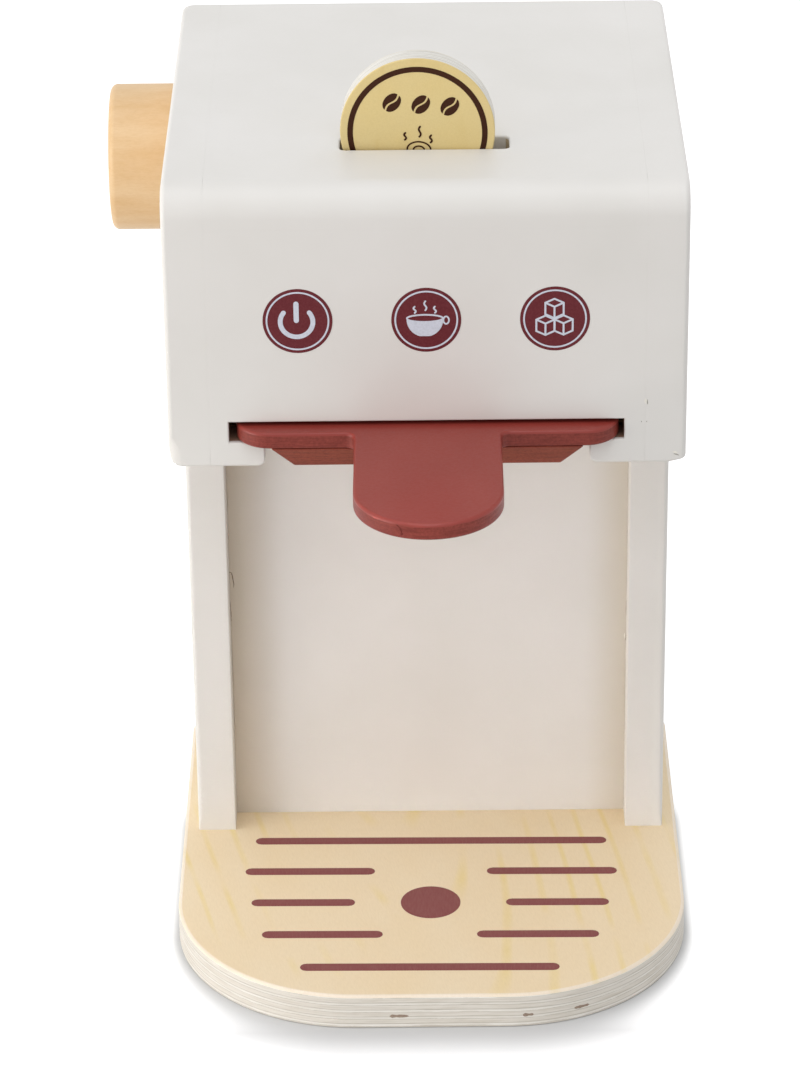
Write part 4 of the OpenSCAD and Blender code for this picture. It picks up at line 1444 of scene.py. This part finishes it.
class MESH_OT_coffee_paint_flaws(bpy.types.Operator):
    """Small flaws in the paint: cracks and open joints in the bay, chips, specks, a nick in the tab, and a
    pimple's painted shade and highlight
    """
    bl_idname = "mesh.coffee_paint_flaws"
    bl_label = "Paint flaws"

    # Points (x, z) and width of each flaw, in millimetres
    BAY_CRACKS = (
        (((-56.9, 90.2), (-56.1, 89.9), (-55.85, 88.9), (-55.7, 87.6), (-55.5, 86.3), (-55.6, 85.0)), 0.28),
        (((-56.85, 83.0), (-56.75, 79.2), (-56.65, 76.6), (-56.8, 74.0), (-56.9, 70.5)), 0.28),
        (((-56.9, 62.0), (-56.8, 55.0), (-56.9, 47.0)), 0.3),
        (((56.75, 104.0), (56.85, 96.0), (56.8, 88.0)), 0.3),
        (((56.8, 80.5), (56.75, 77.0), (56.85, 73.0)), 0.32),
        (((56.85, 69.4), (56.75, 68.0), (56.8, 66.4)), 0.4),
    )
    BAY_CHIPS = ((((56.35, 69.2), (56.3, 68.2), (56.4, 67.3)), 0.3),)
    HEAD_SPECKS_AND_SHADE = (
        # The first is the painted shade under a small paint pimple on the head
        (((64.2, 164.9), (64.9, 164.75), (65.7, 164.45)), 0.3),
        (((57.25, 180.7), (57.2, 180.0), (57.25, 179.2)), 0.22),
        (((57.15, 174.5), (57.05, 174.1)), 0.26),
        (((55.65, 174.5), (55.8, 174.1)), 0.26),
    )
    HEAD_CHIPS_AND_HIGHLIGHT = (
        # The first is the painted highlight on top of that pimple
        (((64.0, 165.5), (64.8, 165.3), (65.3, 165.1)), 0.45),
        (((56.7, 181.0), (56.75, 179.4)), 0.5),
        (((45.0, 169.45), (45.4, 169.5)), 0.34),
        (((47.7, 169.4), (48.1, 169.45)), 0.26),
    )
    TAB_NICKS = (
        (((-8.0, 173.3), (-7.6, 173.0), (-7.0, 172.4), (-6.75, 171.6), (-6.7, 170.6)), 0.46),
        (((-6.95, 171.1), (-6.45, 170.8)), 1.0),
    )

    def execute(self, context):
        dark = made_once("dust_in_paint_crack", matt_film, linear("#86745f"), linear("#78664f"))
        # Pale primer where the paint is chipped, and also the pimple's painted highlight
        pale = made_once("chipped_acrylic_primer", matt_film, linear("#f3efe6"), linear("#e9e4da"))
        red = made_once("nicked_brick_red_acrylic", matt_film, linear("#571d18"), linear("#6a2a22"))
        self.lay("bay_paint_cracks", self.BAY_CRACKS, self.on_bay, "housing", "white_painted_wood", dark)
        self.lay("bay_paint_chip", self.BAY_CHIPS, self.on_bay, "housing", "white_painted_wood", pale)
        # Grey dust, and also the pimple's painted shade
        grey = made_once("dust_in_head_paint", matt_film, linear("#aaa59c"), linear("#98938a"))
        self.lay("head_paint_specks", self.HEAD_SPECKS_AND_SHADE, self.on_head, "housing", "white_painted_wood", grey)
        self.lay("head_paint_chips", self.HEAD_CHIPS_AND_HIGHLIGHT, self.on_head, "housing", "white_painted_wood", pale)
        self.lay("tab_paint_nick", self.TAB_NICKS, self.on_tab, "tray", "terracotta_painted_wood", red)
        return {"FINISHED"}

    @staticmethod
    def lay(name, flaws, place, body, slot, material):
        """Makes one piece of flaws that lie on the same surface"""
        bm = bmesh.new()
        for points, width in flaws:
            add_film(bm, crack(points, width), place)
        finished_piece(bm, name, body, [material], smooth=False)

    @staticmethod
    def on_bay(x, z, lift):
        """A point on the recess board"""
        return x, RECESS_LOW.y - lift, z

    @staticmethod
    def on_head(x, z, lift):
        """A point on the head's front"""
        return x, FRONT_LOW.y - lift, z

    @staticmethod
    def on_tab(x, z, lift):
        """A point on the wall of the tray's round tab"""
        reach = TAB_W / 2 + lift
        return x, PLATE_LOW.y + TAB_W / 2 - math.sqrt(reach ** 2 - (x - TRAY_SHIFT) ** 2), z


# ---------------------------------------------------------------- what is inside

class MATERIAL_OT_coffee_inner_parts(bpy.types.Operator):
    """Wood and steel for the rails, ceiling, pocket, dowels, screws and axle, which keep their CAD shape"""
    bl_idname = "material.coffee_inner_parts"
    bl_label = "Inner parts"

    # Axis of each wooden part's grain
    GRAIN = {
        "rail_left": "Y", "rail_right": "Y", "tray_ceiling": "X", "token_pocket": "X", "front_dowels": "X",
        "top_dowels": "X", "recess_dowels": "X", "rear_dowels": "X", "rail_dowels": "X", "tray_dowels": "Z",
        "tray_peg": "Z", "knob_axle": "X", "knob_collar": "X",
    }

    def execute(self, context):
        steel = made_once("zinc_plated_steel", zinc_plated_steel)
        for node, along in self.GRAIN.items():
            self.dress(node, inner_beech(along))
        for node in ("base_screws", "axle_screw"):
            self.dress(node, steel)
        return {"FINISHED"}

    @staticmethod
    def dress(node, material):
        """Gives a node of the frame its material"""
        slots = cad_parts[node].data.materials
        slots.clear()
        slots.append(material)


# ---------------------------------------------------------------- stage

class SCENE_OT_coffee_stage(bpy.types.Operator):
    """Pale floor, soft lamps, surroundings and the camera at the photograph's viewing angle"""
    bl_idname = "scene.coffee_stage"
    bl_label = "Stage"

    # Place, turn in degrees and lens in millimetres, as the photograph's straight edges give them
    CAMERA_AT = (-1.85 * MM, -1074.09 * MM, 662.41 * MM)
    CAMERA_TURN = (62.857, 0.634, -0.010)
    LENS = 145.67
    # Radius of the floor, in metres
    FLOOR_R = 4.0

    # Beside and behind the base, the floor's glow comes back this many times sooner than in front of it.
    # The change sets in between two places along Y, counted from the base's front
    SIDE_FADE = 6.0
    SIDE_FADE_FROM = -2 * MM
    SIDE_FADE_TO = 50 * MM

    # Name, the setting that holds its strength, kind, place, colour and make of each lamp
    LAMPS = (
        ("overhead_light", "overhead", "SUN", (-0.1, -0.2, 1.0), "#f6faff", {"angle": math.radians(50)}),
        ("front_lamp", "front", "AREA", (-0.92, -0.4, 0.12), "#fffaf4", {"size": 0.6}),
        ("bay_lamp", "bay", "AREA", (-0.45, -1.05, 0.2), "#fffaf4",
         {"shape": "RECTANGLE", "size": 0.09, "size_y": 0.11, "spread": math.radians(7)}),
        ("base_lamp", "base", "AREA", (0, -0.76, 0.9), "#f8faff",
         {"shape": "RECTANGLE", "size": 0.16, "size_y": 0.02, "spread": math.radians(8)}),
    )
    # What a lamp faces, where that isn't the middle of the part
    TARGETS = {"bay_lamp": (0, RECESS_LOW.y, 0.08), "base_lamp": (0, -0.015, 0.01)}

    def execute(self, context):
        stage = context.scene.coffee_stage
        self.add_camera(context.scene)
        self.add_floor(context.scene, stage)
        self.add_world(context.scene, stage)
        middle = (CAD_BOX[0] + CAD_BOX[1]) / 2
        for name, strength, kind, place, colour, make in self.LAMPS:
            target = self.TARGETS.get(name, middle)
            self.add_lamp(context.scene, name, kind, place, target, getattr(stage, strength), colour, make)
        context.scene.view_settings.view_transform = "Standard"
        return {"FINISHED"}

    def add_camera(self, scene):
        """The camera as it stood for the photograph"""
        data = bpy.data.cameras.new("photo_camera")
        data.lens = self.LENS
        camera = bpy.data.objects.new("photo_camera", data)
        camera.location = self.CAMERA_AT
        camera.rotation_euler = [math.radians(a) for a in self.CAMERA_TURN]
        scene.collection.objects.link(camera)
        scene.camera = camera

    def add_floor(self, scene, stage):
        """A wide floor of matt white paper, with a camera-only glow that dies away by the base as painted
        shadow
        """
        bm = bmesh.new()
        bm.faces.new([bm.verts.new((p.x, p.y, 0)) for p in circle((0, 0), self.FLOOR_R, step=6)])
        mesh = bpy.data.meshes.new("sweep_floor")
        bm.to_mesh(mesh)
        bm.free()
        floor = bpy.data.objects.new("sweep_floor", mesh)
        scene.collection.objects.link(floor)
        material, tree, place = new_material("white_sweep_paper")
        # The glow fades to nothing near the base: a painted contact shadow over the lamps' shadow
        glow_beside_painted_shadow = add_node(tree, "ShaderNodeMapRange", {
            "Value": self.distance_from_base(tree, place), "From Max": stage.painted_shadow_width,
            "To Max": stage.glow,
        }, interpolation_type="SMOOTHSTEP")
        glow = add_node(tree, "ShaderNodeMath", {0: self.seen_by_camera(tree), 1: glow_beside_painted_shadow},
                        operation="MULTIPLY")
        paper = add_node(tree, "ShaderNodeBsdfDiffuse", {"Color": stage.floor})
        light = add_node(tree, "ShaderNodeEmission", {"Color": WHITE, "Strength": glow})
        both = add_node(tree, "ShaderNodeAddShader", {0: paper, 1: light})
        add_node(tree, "ShaderNodeOutputMaterial", {"Surface": both})
        mesh.materials.append(material)

    def distance_from_base(self, tree, place):
        """How far a place on the floor is from the base board: near it the glow dies away, as painted
        shadow
        """
        middle, half = (BASE_LOW + BASE_HIGH) / 2, (BASE_HIGH - BASE_LOW) / 2
        reach = [max(0, size - BASE_FRONT_R) for size in half]
        vector, number = "ShaderNodeVectorMath", "ShaderNodeMath"
        off = add_node(tree, vector, {0: place, 1: (middle.x, middle.y, 0)}, operation="SUBTRACT")
        size = add_node(tree, vector, {0: off}, operation="ABSOLUTE")
        past = add_node(tree, vector, {0: size, 1: reach}, operation="SUBTRACT")
        only = add_node(tree, vector, {0: past, 1: (0, 0, 0)}, operation="MAXIMUM")
        length = add_node(tree, vector, {0: only}, operation="LENGTH")
        away = add_node(tree, number, {0: length, 1: BASE_FRONT_R}, operation="SUBTRACT")
        along = add_node(tree, "ShaderNodeSeparateXYZ", {"Vector": place}).outputs["Y"]
        sideways = add_node(tree, "ShaderNodeMapRange", {
            "Value": along, "From Min": BASE_LOW.y + self.SIDE_FADE_FROM,
            "From Max": BASE_LOW.y + self.SIDE_FADE_TO, "To Min": 1.0, "To Max": self.SIDE_FADE})
        return add_node(tree, number, {0: away, 1: sideways}, operation="MULTIPLY")

    @staticmethod
    def seen_by_camera(tree):
        """1 where the camera sees something itself, in a reflection or through glass"""
        path = add_node(tree, "ShaderNodeLightPath").outputs
        either = add_node(tree, "ShaderNodeMath", {0: path["Is Camera Ray"], 1: path["Is Glossy Ray"]},
                          operation="MAXIMUM")
        return add_node(tree, "ShaderNodeMath", {0: either, 1: path["Is Transmission Ray"]},
                        operation="MAXIMUM")

    def add_world(self, scene, stage):
        """White surroundings that light the part evenly, and that the camera sees as plain white"""
        world = bpy.data.worlds.new("white_studio")
        world.use_nodes = True
        tree = world.node_tree
        tree.nodes.clear()
        strength = add_node(tree, "ShaderNodeMapRange", {
            "Value": self.seen_by_camera(tree), "To Min": stage.sky, "To Max": 1.0})
        back = add_node(tree, "ShaderNodeBackground", {"Color": WHITE, "Strength": strength})
        add_node(tree, "ShaderNodeOutputWorld", {"Surface": back})
        scene.world = world

    @staticmethod
    def add_lamp(scene, name, kind, place, target, strength, colour, make):
        """A lamp that faces a target"""
        data = bpy.data.lights.new(name, kind)
        data.energy = strength
        data.color = linear(colour)[:3]
        for key, value in make.items():
            setattr(data, key, value)
        lamp = bpy.data.objects.new(name, data)
        lamp.location = place
        lamp.rotation_euler = (Vector(target) - Vector(place)).to_track_quat("-Z", "Y").to_euler()
        scene.collection.objects.link(lamp)


# ---------------------------------------------------------------- add-on

OPERATORS = (
    SCENE_OT_coffee_stage,
    MESH_OT_coffee_side_boards,
    MESH_OT_coffee_head_boards,
    MESH_OT_coffee_back_boards,
    MESH_OT_coffee_base,
    MESH_OT_coffee_drip_grid,
    MESH_OT_coffee_tray,
    MESH_OT_coffee_knob,
    MESH_OT_coffee_token,
    MESH_OT_coffee_pictograms,
    MESH_OT_coffee_paint_flaws,
    MATERIAL_OT_coffee_inner_parts,
)


class VIEW3D_PT_coffee_maker(bpy.types.Panel):
    """The steps that dress the toy coffee maker"""
    bl_idname = "VIEW3D_PT_coffee_maker"
    bl_label = "Toy coffee maker"
    bl_space_type = "VIEW_3D"
    bl_region_type = "UI"
    bl_category = "Toy"

    def draw(self, context):
        for operator in OPERATORS:
            self.layout.operator(operator.bl_idname)
        for name, group in GROUPS.items():
            box = self.layout.box()
            box.label(text=group.__doc__)
            for key in group.__annotations__:
                box.prop(getattr(context.scene, name), key)


CLASSES = (*GROUPS.values(), *OPERATORS, VIEW3D_PT_coffee_maker)


def register():
    """Registers the settings, the steps and their panel"""
    for cls in CLASSES:
        bpy.utils.register_class(cls)
    for name, group in GROUPS.items():
        setattr(bpy.types.Scene, name, bpy.props.PointerProperty(type=group))


def unregister():
    """Takes the panel, the steps and the settings out again"""
    for name in GROUPS:
        delattr(bpy.types.Scene, name)
    for cls in reversed(CLASSES):
        bpy.utils.unregister_class(cls)


def main():
    """Dresses the frame"""
    register()
    for operator in OPERATORS:
        family, name = operator.bl_idname.split(".")
        getattr(getattr(bpy.ops, family), name)()
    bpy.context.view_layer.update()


if __name__ == "__main__":
    main()
